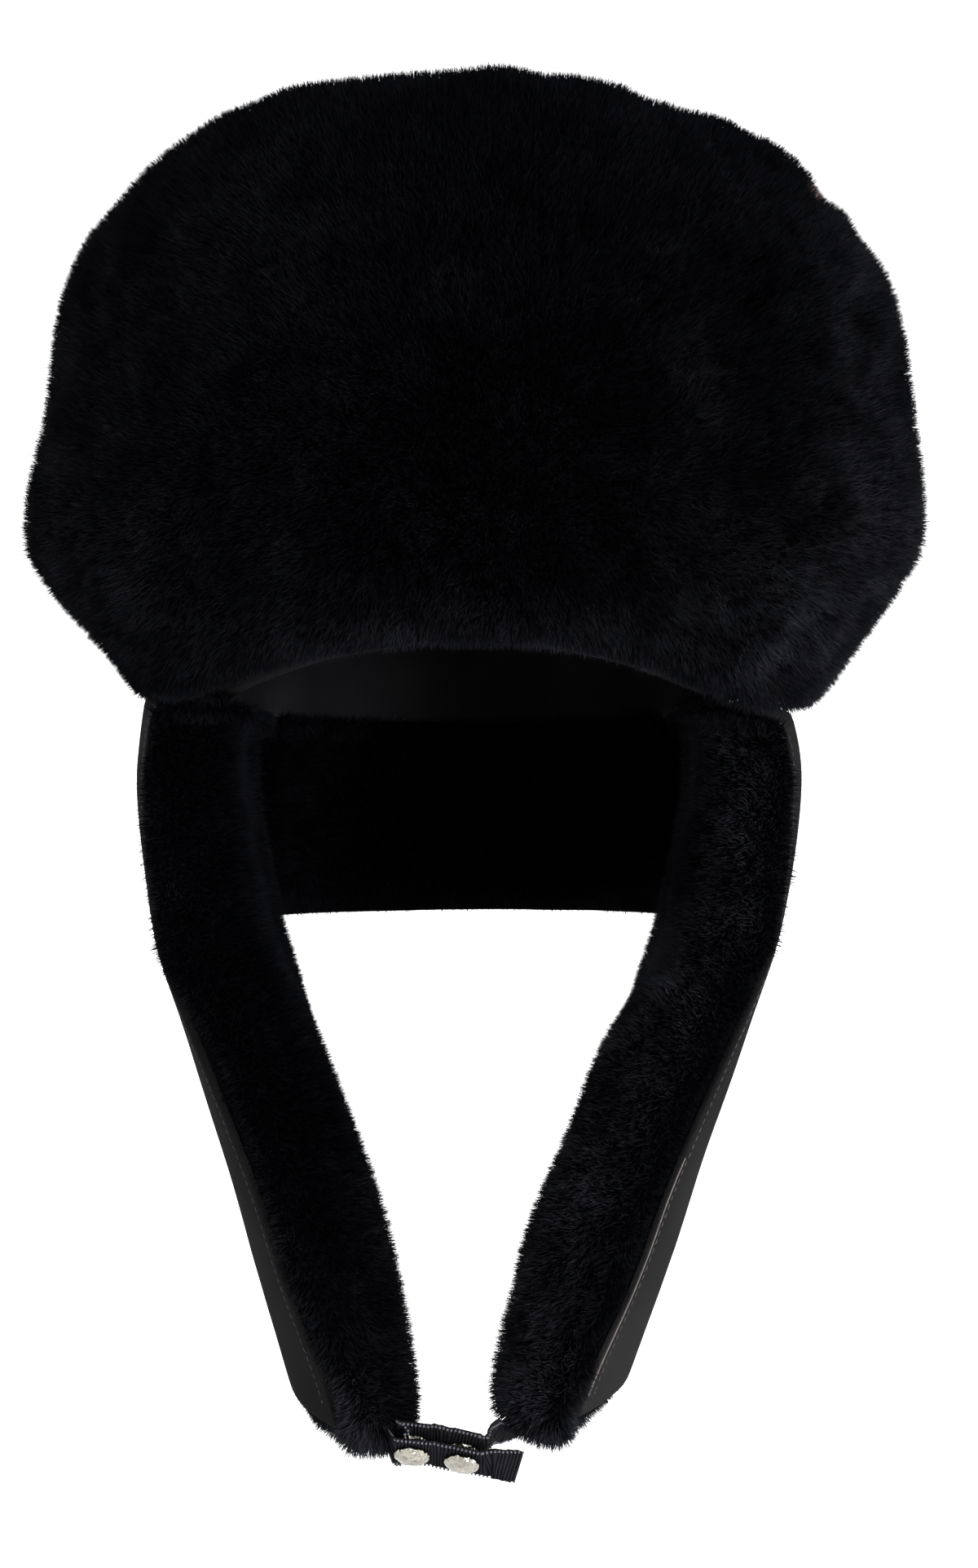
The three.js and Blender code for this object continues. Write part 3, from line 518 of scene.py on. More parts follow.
def metal_material(name, colour, hammer):
    material, tree, shader = new_material(name, 0.2, 1.0)
    wear = worn(tree, 260.0)
    dull = tuple(0.6 * c for c in colour)
    tree.links.new(mix_colours(tree, wear, (*colour, 1), (*dull, 1)), shader.inputs["Base Color"])
    rough = add_node(tree, "ShaderNodeMapRange", {0: wear, 3: 0.14, 4: 0.36})
    tree.links.new(rough.outputs[0], shader.inputs["Roughness"])
    dents = add_node(tree, "ShaderNodeTexVoronoi", {"Vector": own_place(tree), "Scale": hammer})
    bump_onto(tree, shader, dents.outputs["Distance"], 0.8, 0.0006)
    return material


# Geometry Nodes: the fur's blades, stitches and rolls along a path

def vectors(tree, operation, first, second=None, scale=None):
    values = {0: first, 1: second, "Scale": scale}
    return add_node(tree, "ShaderNodeVectorMath", values, operation=operation).outputs[0]


def read_field(tree, name, kind):
    return add_node(tree, "GeometryNodeInputNamedAttribute", {"Name": name}, data_type=kind).outputs[0]


def keep_field(tree, shape, name, value, domain):
    """The shape with a value stored on it under a name."""
    values = {"Geometry": shape, "Name": name, "Value": value}
    kind = "GeometryNodeStoreNamedAttribute"
    return add_node(tree, kind, values, data_type="FLOAT", domain=domain).outputs[0]


def random_field(tree, kind, low, high, seed, offset):
    shifted = maths(tree, "ADD", seed, float(offset))
    node = add_node(tree, "FunctionNodeRandomValue", {"Seed": shifted}, data_type=kind)
    ends = [s for s in node.inputs if s.enabled]
    ends[0].default_value = low
    ends[1].default_value = high
    return next(s for s in node.outputs if s.enabled)


def new_tree(name, inputs):
    """A tree from one geometry to another, with its own inputs and a material."""
    rows = [("Geometry", "NodeSocketGeometry", None), *inputs, ("Material", "NodeSocketMaterial", None)]
    tree, given, result = new_group(name, "GeometryNodeTree", rows, [("Geometry", "NodeSocketGeometry")])
    tree.is_modifier = True
    return tree, given, result


def end_tree(tree, shape, given, result):
    """Makes the instances real and gives the shape its material."""
    real = add_node(tree, "GeometryNodeRealizeInstances", {0: shape}).outputs[0]
    values = {"Geometry": real, "Material": given["Material"]}
    finish = add_node(tree, "GeometryNodeSetMaterial", values)
    tree.links.new(finish.outputs[0], result.inputs[0])
    return tree


def blade_form(tree, curl):
    """One hair of unit length and width: a pointed blade that bends at its tip."""
    grid = add_node(tree, "GeometryNodeMeshGrid", {0: 1.0, 1: 1.0, 2: 2, 3: 2})
    spot = add_node(tree, "GeometryNodeInputPosition")
    split = add_node(tree, "ShaderNodeSeparateXYZ", {0: spot.outputs[0]})
    along = maths(tree, "ADD", split.outputs[1], 0.5)
    wide = maths(tree, "MULTIPLY", split.outputs[0], maths(tree, "SUBTRACT", 1.0, along))
    bent = maths(tree, "MULTIPLY", along, curl)
    join = add_node(tree, "ShaderNodeCombineXYZ", {0: wide, 1: bent, 2: along})
    shape = add_node(tree, "GeometryNodeSetPosition", {
        "Geometry": keep_field(tree, grid.outputs[0], "along", along, "POINT"), "Position": join.outputs[0],
    })
    values = {"Geometry": shape.outputs[0], "Distance": 0.0001}
    return add_node(tree, "GeometryNodeMergeByDistance", values).outputs[0]


def pile_tree():
    """Blades scattered over a pad, combed, clumped and given their lengths by its attributes."""
    tree, given, result = new_tree("fur_pile", [
        ("Density", VALUE, 1e6), ("Width", VALUE, PILE_WIDTH * MM),
        ("Lean", VALUE, 0.22),
        ("Clump Size", VALUE, CLUMP_SIZE * MM), ("Clump", VALUE, 0.7),
        ("Fine Clump Size", VALUE, FINE_CLUMP_SIZE * MM), ("Fine Clump", VALUE, 1.0),
        ("Stray", VALUE, 0.3), ("Curl", VALUE, 0.1), ("Seed", "NodeSocketInt", 1),
    ])
    scatter = add_node(tree, "GeometryNodeDistributePointsOnFaces", {
        "Mesh": given["Geometry"], "Seed": given["Seed"],
        "Density": maths(tree, "MULTIPLY", read_field(tree, "cover", "FLOAT"), given["Density"]),
    }, distribute_method="RANDOM")
    spot = add_node(tree, "GeometryNodeInputPosition").outputs[0]
    comb = vectors(tree, "SCALE", read_field(tree, "comb", "FLOAT_VECTOR"), None, given["Lean"])
    way = vectors(tree, "ADD", scatter.outputs["Normal"], comb)
    for size, amount in (("Clump Size", "Clump"), ("Fine Clump Size", "Fine Clump")):
        lumps = noise(tree, spot, maths(tree, "DIVIDE", 1.0, given[size]), 1.0)
        lean = vectors(tree, "SUBTRACT", lumps.outputs["Color"], (0.5, 0.5, 0.5))
        way = vectors(tree, "ADD", way, vectors(tree, "SCALE", lean, None, given[amount]))
    stray = random_field(tree, "FLOAT_VECTOR", (-1, -1, -1), (1, 1, 1), given["Seed"], 11)
    stray = vectors(tree, "SCALE", stray, None, given["Stray"])
    way = vectors(tree, "NORMALIZE", vectors(tree, "ADD", way, stray))
    align = add_node(tree, "FunctionNodeAlignRotationToVector", {"Vector": way}, axis="Z")
    turn = add_node(tree, "FunctionNodeAxisAngleToRotation", {
        "Axis": (0, 0, 1), "Angle": random_field(tree, "FLOAT", 0.0, 2 * math.pi, given["Seed"], 23),
    })
    turned = {0: align.outputs[0], 1: turn.outputs[0]}
    spin = add_node(tree, "FunctionNodeRotateRotation", turned, rotation_space="LOCAL")
    vary = random_field(tree, "FLOAT", 0.72, 1.16, given["Seed"], 37)
    length = maths(tree, "MULTIPLY", read_field(tree, "pile", "FLOAT"), vary)
    size = add_node(tree, "ShaderNodeCombineXYZ", {0: given["Width"], 1: length, 2: length})
    plant = add_node(tree, "GeometryNodeInstanceOnPoints", {
        "Points": scatter.outputs["Points"], "Instance": blade_form(tree, given["Curl"]),
        "Rotation": spin.outputs[0], "Scale": size.outputs[0],
    })
    shade = random_field(tree, "FLOAT", 0.0, 1.0, given["Seed"], 41)
    return end_tree(tree, keep_field(tree, plant.outputs[0], "shade", shade, "INSTANCE"), given, result)


def stitch_tree():
    """Stitches at even steps along paths."""
    tree, given, result = new_tree("stitch_run", [
        ("Pitch", VALUE, STITCH_PITCH * MM), ("Length", VALUE, STITCH_LENGTH * MM),
        ("Thickness", VALUE, STITCH_THICK * MM),
    ])
    path = add_node(tree, "GeometryNodeMeshToCurve", {0: given["Geometry"]})
    values = {0: path.outputs[0], "Length": given["Pitch"]}
    steps = add_node(tree, "GeometryNodeCurveToPoints", values, mode="LENGTH")
    ball = add_node(tree, "GeometryNodeMeshUVSphere", {"Segments": 6, "Rings": 4, "Radius": 0.5})
    values = {0: given["Thickness"], 1: given["Thickness"], 2: given["Length"]}
    size = add_node(tree, "ShaderNodeCombineXYZ", values)
    plant = add_node(tree, "GeometryNodeInstanceOnPoints", {
        "Points": steps.outputs["Points"], "Instance": ball.outputs[0],
        "Rotation": steps.outputs["Rotation"], "Scale": size.outputs[0],
    })
    return end_tree(tree, plant.outputs[0], given, result)


def roll_tree():
    """A thin round roll along paths."""
    tree, given, result = new_tree("edge_roll", [("Radius", VALUE, HEM_ROLL["radius"] * MM)])
    path = add_node(tree, "GeometryNodeMeshToCurve", {0: given["Geometry"]})
    values = {"Resolution": 8, "Radius": given["Radius"]}
    ring = add_node(tree, "GeometryNodeCurvePrimitiveCircle", values)
    tube = add_node(tree, "GeometryNodeCurveToMesh", {
        "Curve": path.outputs[0], "Profile Curve": ring.outputs[0], "Fill Caps": True,
    })
    return end_tree(tree, tube.outputs[0], given, result)


def grown(tree, name, mesh, values):
    """A new plain piece that a tree makes from a mesh."""
    piece = new_piece(name, mesh)
    made = piece.modifiers.new(tree.name, "NODES")
    made.node_group = tree
    ids = {item.name: item.identifier for item in tree.interface.items_tree if item.in_out == "INPUT"}
    for key, value in values.items():
        made[ids[key]] = value
    return settle(piece)


def paths_mesh(name, runs):
    """Open polylines as one mesh of edges."""
    points, edges = [], []
    for run in runs:
        start = len(points)
        points += [tuple(p) for p in run]
        edges += [(start + i, start + i + 1) for i in range(len(run) - 1)]
    mesh = bpy.data.meshes.new(name)
    mesh.from_pydata(points, edges, [])
    return mesh


# Fur

def comb_front(points):
    """The front flap's nap fans out, upward above a height of 50 mm and downward below it."""
    out = np.stack([points[:, 0] * 4.5, np.zeros(len(points)), (points[:, 2] - 0.05) * 7], 1)
    return np.clip(out, -1, 1)


def comb_down(points):
    """Ear and nape fur lies downward, and upward only at its seam with the crown."""
    fall = np.where(points[:, 2] > -0.012, 0.8, -0.9)
    return np.stack([np.zeros(len(points)), np.full(len(points), -0.25), fall], 1)


def paint_nap_light(points, patches, seed):
    """Painted light and shade on the nap: an even ground, patches and soft clouds."""
    x, z = points[:, 0] / MM, points[:, 2] / MM
    painted_nap_light = np.full(len(points), NAP_LIGHT_GROUND)
    for row in patches:
        reach = ((x - row["x"]) / row["wide"]) ** 2 + ((z - row["z"]) / row["high"]) ** 2
        painted_nap_light += row["lift"] * np.exp(-reach)
    return painted_nap_light * (1 + 0.18 * swell(points, 0.03, seed) + 0.12 * swell(points, 0.013, seed + 1))


def crease_depth(points, creases):
    """How deep the fur sinks at each point by the nearest crease, in metres."""
    x, z = points[:, 0] / MM, points[:, 2] / MM
    deep = np.zeros(len(points))
    for row in creases:
        run = np.array([row["x1"] - row["x0"], row["z1"] - row["z0"]])
        share = ((x - row["x0"]) * run[0] + (z - row["z0"]) * run[1]) / (run @ run)
        share = np.clip(share, 0, 1)
        off = np.hypot(x - row["x0"] - share * run[0], z - row["z0"] - share * run[1])
        deep = np.maximum(deep, row["depth"] * np.exp(-((off / row["wide"]) ** 2)))
    return deep * MM


def beside_cloth(mesh, cloth_name):
    """At each point: how clear it is of the cloth it lies on, and how near that cloth is."""
    cloth = surface_of(nodes[cloth_name].data)
    clear, beside = np.ones(len(mesh.vertices)), np.zeros(len(mesh.vertices))
    for i, (p, n) in enumerate(zip(places(mesh), normals(mesh))):
        spot = Vector(p)
        near, _, _, far = cloth.find_nearest(spot)
        if (near - spot).dot(Vector(n)) > 0.3 * far:
            clear[i] = soft_step(THINS["bare"] * MM, THINS["full"] * MM, far)
        beside[i] = soft_step(BESIDE["far"] * MM, BESIDE["near"] * MM, far)
    return clear, beside


def lap_over(points, ways, cover, beside, side, seed):
    """The fur's outer front edge curls over the edge of the cloth on the upper part of an ear flap."""
    upper = soft_step(LAP["from"] * MM, LAP["to"] * MM, points[:, 2])
    facing = soft_step(0.1, -0.4, ways[:, 1])
    wavy = 0.35 * swell(points * np.array([0, 0, 1]), 0.022, seed + 2)
    reach = (0.2 + 0.8 * upper + wavy * (1 - 0.5 * upper)) * facing * cover * beside
    return reach[:, None] * np.array([side * LAP["out"] * MM, -LAP["forward"] * MM, 0])


def rim_rise(points, side):
    """How the right ear flap's upper edge stands up at its front."""
    high = soft_step(RIM_RISE["from"] * MM, RIM_RISE["to"] * MM, points[:, 2])
    outer = soft_step(RIM_RISE["beyond"] * MM, RIM_RISE["full"] * MM, -points[:, 0])
    forward = soft_step(RIM_RISE["rear"] * MM, RIM_RISE["front"] * MM, points[:, 1])
    lift = RIM_RISE["up"] * MM * high * outer * forward * (side < 0)
    return lift[:, None] * np.array([0, 0, 1])


def dips(points):
    """Small dips of an upper edge, toward the flap's centre."""
    moved = np.zeros((len(points), 3))
    for row in DIPS_FRONT:
        off = np.hypot(points[:, 0] / MM - row["x"], points[:, 2] / MM - row["z"])
        inward = np.array([DIP_CENTRE["x"] - row["x"], 0, DIP_CENTRE["z"] - row["z"]])
        inward = inward / np.linalg.norm(inward)
        moved += (row["depth"] * MM * np.exp(-((off / row["reach"]) ** 2)))[:, None] * inward
    return moved


def thickness(mesh):
    """How thick the solid is straight inward from each of its points, in metres."""
    own = surface_of(mesh)
    out = np.full(len(mesh.vertices), 0.02)
    for i, (p, n) in enumerate(zip(places(mesh), normals(mesh))):
        hit = own.ray_cast(Vector(p) - Vector(n) * 2e-4, -Vector(n))
        if hit[3] is not None:
            out[i] = hit[3]
    return out


def at_end(points):
    return soft_step(END_FULLER["from"] * MM, END_FULLER["to"] * MM, points[:, 2])


def fuller_end(points, cover, side):
    """How the fur at an ear flap's lower end stands inward, forward and down."""
    share = at_end(points) * cover
    outer = soft_step(END_FULLER["inner"], END_FULLER["outer"], side * points[:, 0] / MM)
    ends = END_DOWN[side]
    push = np.stack([
        np.full(len(points), -side * END_FULLER["inward"]),
        -END_FULLER["forward"] * (1 - 0.8 * outer),
        -(ends["inner"] + (ends["outer"] - ends["inner"]) * outer),
    ], 1)
    return share[:, None] * push * MM


def bare_spot(points):
    """Where the nick bares the hide, from 0 to 1."""
    nick = np.array([HIDE_NICK["x"], HIDE_NICK["y"], HIDE_NICK["z"]])
    off = np.linalg.norm(points / MM - nick, axis=1) / HIDE_NICK["reach"]
    return soft_step(1.2, 0.7, off)


def sunk_in(mesh, cover, creases, lump, seed):
    """How far the pad lies inside the CAD surface: the pile's length, less its lumps, plus its creases."""
    points = places(mesh)
    lumps = lump * MM * (0.7 * swell(points, 0.034, seed) + 0.45 * swell(points, 0.016, seed + 5))
    lumps -= crease_depth(points, creases) * soft_step(0.3, -0.3, normals(mesh)[:, 1])
    inset = np.minimum((PILE_LENGTH - PILE_STAND_OUT) * MM, PAD_SHARE * thickness(mesh)) * cover
    return np.maximum(inset - lumps * cover * soft_step(0.002, 0.0045, inset), 0.0004)


def make_fur(node_name, cloth_name, comb, patches, creases, lump, batches, seed, side=0):
    """A padded base inside the CAD fur, with pile that reaches the CAD surface and a little past it.

    Each batch of pile is a density in blades per square millimetre. Side is 1 or -1 on an ear flap.
    """
    base = subdivided(merged_copy(node_name, node_name + "_pad"), 2)
    mesh = base.data
    points, ways = places(mesh), normals(mesh)
    cover, beside = beside_cloth(mesh, cloth_name)
    inset = sunk_in(mesh, cover, creases, lump, seed)
    bare = bare_spot(points) * (node_name == "front_flap_fur")
    laid = comb(points)
    moved = points - ways * (inset * cover)[:, None]
    if side:
        lap = lap_over(points, ways, cover, beside, side, seed)
        laid = laid + lap / (LAP["out"] * MM) * 1.2
        moved = moved + lap + fuller_end(points, cover, side) + rim_rise(points, side)
    else:
        moved = moved + dips(points)
    move_to(mesh, moved)
    store(mesh, "cover", cover * (1 - bare) * (1 + END_DENSER * at_end(points)))
    store(mesh, "pile", np.clip(inset + PILE_STAND_OUT * MM, SHORTEST_PILE * MM, 1.1 * PILE_LENGTH * MM))
    store(mesh, "comb", laid, "FLOAT_VECTOR")
    # Painted highlights and painted shade on the nap, stored on the pad
    store(mesh, "painted_nap_light", paint_nap_light(points, patches, seed))
    store(mesh, "hide", bare)
    mesh.materials.clear()
    mesh.materials.append(FUR)
    hairs = []
    for batch, density in enumerate(batches):
        hairs.append(grown(PILE, f"{node_name}_pile_{batch + 1}", mesh.copy(), {
            "Density": density / MM ** 2, "Seed": seed * 10 + batch, "Material": FUR,
        }))
    for part in (base, *hairs):
        for name in ("pile", "comb", "cover"):
            part.data.attributes.remove(part.data.attributes[name])
        own_trim(part)
    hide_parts(node_name)


# Cloth

def lay_uv(mesh, rule):
    """A UV map named cloth, in metres, from a rule on places."""
    layer = mesh.uv_layers.new(name="cloth")
    flat = rule(places(mesh))
    corner = np.zeros(len(mesh.loops), int)
    mesh.loops.foreach_get("vertex_index", corner)
    layer.data.foreach_set("uv", flat[corner].ravel())


def side_plan(points):
    return points[:, 1:3].copy()


def round_plan(points):
    angle = np.arctan2(points[:, 0], points[:, 1])
    return np.stack([angle * 0.1, points[:, 2]], 1)


def front_plan(points):
    return points[:, [0, 2]].copy()


def paint_shell_light(points):
    """Painted light: how much paler each place of the flaps' cloth is painted where the light falls."""
    total = np.zeros(len(points))
    for row in SHELL_LIGHT_PATCHES:
        reach = ((points[:, 0] / MM - row["x"]) / row["wide"]) ** 2
        reach += ((points[:, 2] / MM - row["z"]) / row["high"]) ** 2
        total += row["lift"] * np.exp(-reach)
    return total


def make_cloth(node_name, name, rule, material, slot_name, rounding, ripple, drag, seed):
    """A node's cloth with crisp edges, soft ripples and a seam that meets its neighbours'.

    Ripple is their height in millimetres, and drag says how quickly they follow along x, y and z.
    """
    piece = subdivided(merged_copy(node_name, name, 0.8), rounding)
    mesh = piece.data
    points, ways = places(mesh), normals(mesh)
    dragged = points * np.array(drag)
    wave = ripple * MM * (0.6 * swell(dragged, 0.05, seed) + 0.4 * swell(dragged, 0.022, seed + 3))
    points = points + ways * wave[:, None]
    run = [CROWN_RIM["to"] * MM, CROWN_RIM["from"] * MM]
    rim = points[:, 2] - np.interp(points[:, 1], run, [CROWN_RIM["rise"] * MM, 0])
    sewn = soft_step(SEAM_BAND * MM, 0, np.abs(rim))
    toward = -1 if slot_name == "crown_cloth" else 1
    points[:, 2] += toward * SEAM_REACH * MM * sewn
    if "ear_flap_right" in name:
        points += rim_rise(points, -1)
    move_to(mesh, points)
    # Painted light patches on the shell cloth, stored for its material
    store(mesh, "painted_light", paint_shell_light(points) * (slot_name == "shell_cloth"))
    lay_uv(mesh, rule)
    mesh.materials.clear()
    mesh.materials.append(material)
    stand_for(piece, node_name)
    return piece


def flap_edges(shell):
    """Front and rear edge of an ear flap's cloth at a range of heights, as (height, front, rear)."""
    points = places(shell.data)
    low, high = points[:, 2].min(), points[:, 2].max()
    rows = []
    for height in np.linspace(high - 0.004, low + 0.002, HEM_ROWS):
        band = points[np.abs(points[:, 2] - height) < 0.0035]
        if len(band) > 4:
            rows.append((height, band[:, 1].min(), band[:, 1].max()))
    return rows


def along_flap(shell, side, spots, lift):
    """Points on an ear flap's outer face at places given as (back, height)."""
    surface = surface_of(shell.data)
    run = []
    for back, height in spots:
        hit, way, _, _ = surface.ray_cast(Vector((side * 0.2, back, height)), Vector((-side, 0, 0)))
        if hit is not None:
            run.append(hit + way * lift)
    return run


def hem_stitches(shell, side, name):
    """Stitches down an ear flap's front edge and up its rear edge."""
    rows = flap_edges(shell)
    inset, lift = HEM_INSET * MM, HEM_LIFT * MM
    front = along_flap(shell, side, [(f + inset, h) for h, f, _ in rows], lift)
    rear = along_flap(shell, side, [(r - inset, h) for h, _, r in rows], lift)
    lowest = rows[-1][0] + inset
    run = [p for p in front + rear[::-1] if p.z > lowest]
    own_trim(grown(STITCH, name, paths_mesh("hem_path", [run]), {"Material": THREAD}))


def edge_roll(shell, side, name):
    """The pale edge of the hide, rolled along the lower front edge of an ear flap's cloth."""
    rows = [r for r in flap_edges(shell) if HEM_ROLL["to"] * MM < r[0] < HEM_ROLL["from"] * MM]
    spots = [(front + HEM_ROLL["inset"] * MM, height) for height, front, _ in rows]
    run = along_flap(shell, side, spots, HEM_ROLL["lift"] * MM)
    roll = grown(ROLL, name, paths_mesh("edge_path", [run]), {"Material": HIDE_EDGE})
    smooth(roll.data)
    own_trim(roll)


def crown_seams(crown):
    """Stitches down each seam between the crown's gores."""
    surface = surface_of(crown.data)
    runs = []
    for gore in range(GORES):
        angle = gore * 2 * math.pi / GORES
        around = Vector((math.sin(angle), math.cos(angle), 0))
        across = Vector((math.cos(angle), -math.sin(angle), 0))
        for side in (-1, 1):
            run = []
            for step in np.linspace(GORE_STITCHES["low"], GORE_STITCHES["high"], GORE_STITCHES["steps"]):
                lean = math.radians(step)
                way = around * math.cos(lean) + Vector((0, 0, math.sin(lean)))
                start = way * 0.3 + across * (side * GORE_STITCHES["apart"] * MM) + Vector((0, 0, 0.02))
                hit, normal, _, _ = surface.ray_cast(start, -way)
                if hit is not None:
                    run.append(hit + normal * (GORE_STITCHES["lift"] * MM))
            runs.append(run)
    stitches = grown(STITCH, "crown_seam_stitches", paths_mesh("seam_paths", runs), {"Material": THREAD})
    own_trim(stitches)


# Ribbon and snaps

def ribbon_frames(node_name):
    """Middle and width of a ribbon's cross-sections, read from slices of its CAD node."""
    mesh = nodes[node_name].data
    points = places(mesh)
    edges = np.array([e.vertices for e in mesh.edges])
    xs = np.linspace(points[:, 0].min() + 0.0015, points[:, 0].max() - 0.0004, RIBBON_SLICES)
    mids, wides = [], []
    before = np.array([0, -0.5, 0.9])
    for x in xs:
        a, b = points[edges[:, 0]], points[edges[:, 1]]
        cut = (a[:, 0] - x) * (b[:, 0] - x) < 0
        a, b = a[cut], b[cut]
        t = ((x - a[:, 0]) / (b[:, 0] - a[:, 0]))[:, None]
        ring = a + (b - a) * t
        _, _, axes = np.linalg.svd(ring - ring.mean(0))
        before = axes[0] * (1 if axes[0] @ before > 0 else -1)
        mids.append((ring.max(0) + ring.min(0)) / 2)
        wides.append(before)
    return np.array(mids), np.array(wides)


def ribbon_steps(node_name):
    """The ribbon at fine even steps: distance along it, middle, width and face of each section."""
    mids, wides = ribbon_frames(node_name)
    lengths = np.concatenate([[0], np.cumsum(np.linalg.norm(np.diff(mids, axis=0), axis=1))])
    at = np.linspace(0, lengths[-1], int(lengths[-1] / (RIB_PITCH * MM) * STEPS_A_RIB))
    mids = np.stack([np.interp(at, lengths, mids[:, k]) for k in range(3)], 1)
    wides = np.stack([np.interp(at, lengths, wides[:, k]) for k in range(3)], 1)
    runs = np.gradient(mids, axis=0)
    runs /= np.linalg.norm(runs, axis=1)[:, None]
    wides -= runs * (wides * runs).sum(1)[:, None]
    wides /= np.linalg.norm(wides, axis=1)[:, None]
    return at, mids, wides, np.cross(runs, wides)


def tucked(points, root):
    """A ribbon's points with its root, and the back one's free end, moved back into the fur."""
    across = points[:, 0]
    hidden = soft_step(root["from"] * MM, root["to"] * MM, across)
    deep = soft_step(root["to"] * MM, root["end"] * MM, across)
    back = root["back"] * (hidden - 0.7 * deep)
    if root["slide"]:
        back += TAIL["back"] * soft_step(TAIL["from"] * MM, TAIL["to"] * MM, across)
    up = root["up"] * hidden + (ROOT_END_UP - root["up"]) * deep
    return points + np.stack([0 * across, back * MM, up * MM], 1)


def ribbon_faces(count, wide):
    """Quads of a closed band: its two faces, its two long edges and its two ends."""
    quads = []
    back = count * wide
    for side in (0, 1):
        for i in range(count - 1):
            for k in range(wide - 1):
                a = side * back + i * wide + k
                quads.append((a, a + 1, a + wide + 1, a + wide))
    for i in range(count - 1):
        for a in (i * wide, i * wide + wide - 1):
            quads.append((a, a + wide, back + a + wide, back + a))
    for i in (0, count - 1):
        for a in range(i * wide, i * wide + wide - 1):
            quads.append((a, back + a, back + a + 1, a + 1))
    return quads


def make_ribbon(node_name, folded):
    """A grosgrain ribbon in the place of its CAD node, ribbed, with picots along both edges."""
    root = ROOTS[node_name]
    at, mids, wides, faces = ribbon_steps(node_name)
    shown = 1 - soft_step(root["from"] * MM, root["to"] * MM, mids[:, 0])
    mids += wides * (root["slide"] * MM * shown)[:, None]
    fold = at[-1] - FOLDED_END * MM
    doubled = 0.5 * RIBBON_THICK * MM * soft_step(fold, fold + 0.0006, at) * folded
    rounded = 1 - 0.1 * soft_step(at[-1] - 2.5 * MM, at[-1], at) * folded
    ribs = np.abs(np.sin(math.pi * at / (RIB_PITCH * MM)))
    half = RIBBON_THICK * MM / 2 - RIB_RELIEF * MM
    edge = np.where(np.abs(COLUMNS) > 0.46, 0.35, 1.0)
    points = []
    for side in (1, -1):
        for i in range(len(at)):
            relief = half + RIB_RELIEF * MM * ribs[i] * edge + doubled[i] * (side == 1)
            lift = np.where(np.abs(COLUMNS) == 0.5, 0.25 * half, relief)
            row = mids[i] + wides[i] * (COLUMNS * RIBBON_WIDTH * MM * rounded[i])[:, None]
            points.append(row + faces[i] * (side * lift)[:, None])
    name = node_name + "_ribbon"
    mesh = mesh_from(name, tucked(np.concatenate(points), root), ribbon_faces(len(at), len(COLUMNS)))
    face_outward(mesh)
    lay_uv(mesh, front_plan)
    # Painted highlights on the rib crests, so the ribs read as lit
    crest_highlight = np.repeat(0.75 * np.clip(ribs * 1.5 - 0.75, 0, 1), len(COLUMNS))
    store(mesh, "painted_light", np.tile(crest_highlight, 2))
    smooth(mesh)
    mesh.materials.append(GROSGRAIN)
    stand_for(new_piece(name, mesh), node_name)
    rise = faces * (0.45 * RIBBON_THICK * MM)
    reach = wides * (0.485 * RIBBON_WIDTH * MM)
    edges = [tucked((mids + side * reach + rise)[::4], root) for side in (1, -1)]
    own_trim(grown(STITCH, name + "_picots", paths_mesh("picot_paths", edges), {
        "Pitch": PICOTS["pitch"] * MM, "Length": PICOTS["long"] * MM, "Thickness": PICOTS["thick"] * MM,
        "Material": PICOT,
    }))


def make_cap(index):
    """A hammered dome over one snap, in the place of its CAD cap."""
    node_name = f"snap_cap_{index}"
    points = places(nodes[node_name].data)
    middle = (points.max(0) + points.min(0)) / 2
    _, _, axes = np.linalg.svd(points - points.mean(0), full_matrices=False)
    way = axes[2] * (-1 if axes[2][1] > 0 else 1)
    foot = middle + way * ((points - middle) @ way).min()
    across = np.cross(way, [0, 0, 1.0])
    across /= np.linalg.norm(across)
    up = np.cross(across, way)
    rows = []
    for r, h in CAP_SECTION:
        for k in range(CAP_SIDES):
            turn = 2 * math.pi * k / CAP_SIDES
            radial = across * math.cos(turn) + up * math.sin(turn)
            rows.append(foot + radial * (r * CAP["radius"] * MM) + way * (h * CAP["height"] * MM))
    rows = np.array(rows)
    rows += way * (CAP["lumps"] * MM * swell(rows, CAP["lump_size"] * MM, index))[:, None]
    mesh = mesh_from(node_name + "_dome", rows, turned_faces(len(CAP_SECTION), CAP_SIDES))
    face_outward(mesh, MERGE_REACH * MM)
    smooth(mesh)
    mesh.materials.append(HAMMERED)
    stand_for(new_piece(node_name + "_dome", mesh), node_name)


# Floor, backdrop and light

def make_stage():
    """A round pale floor that sweeps up into the backdrop."""
    turns = 2 * math.pi * np.arange(STAGE_SIDES) / STAGE_SIDES
    points = [(r * math.cos(turn), r * math.sin(turn), h) for r, h in STAGE_SECTION for turn in turns]
    mesh = mesh_from("studio_floor", points, turned_faces(len(STAGE_SECTION), STAGE_SIDES))
    smooth(mesh)
    material, _, shader = new_material("pale_floor", 0.8)
    shader.inputs["Base Color"].default_value = (0.88, 0.88, 0.88, 1)
    shader.inputs["Specular IOR Level"].default_value = 0.1
    shader.inputs["Emission Color"].default_value = (1, 1, 1, 1)
    shader.inputs["Emission Strength"].default_value = 0.35
    mesh.materials.append(material)
    new_piece("studio_floor", mesh)


def make_light():
    """White air and three soft round lights."""
    world = bpy.data.worlds.new("studio_air")
    world.use_nodes = True
    air = world.node_tree.nodes["Background"]
    air.inputs[0].default_value = (1, 1, 1, 1)
    air.inputs[1].default_value = AIR_STRENGTH
    scene.world = world
    for row in LIGHTS:
        data = bpy.data.lights.new(row["name"], "AREA")
        data.shape = "DISK"
        data.size = row["size"]
        data.energy = row["power"]
        light = bpy.data.objects.new(row["name"], data)
        light.location = row["place"]
        way = Vector(row["aim"]) - Vector(row["place"])
        light.rotation_euler = way.to_track_quat("-Z", "Y").to_euler()
        scene.collection.objects.link(light)


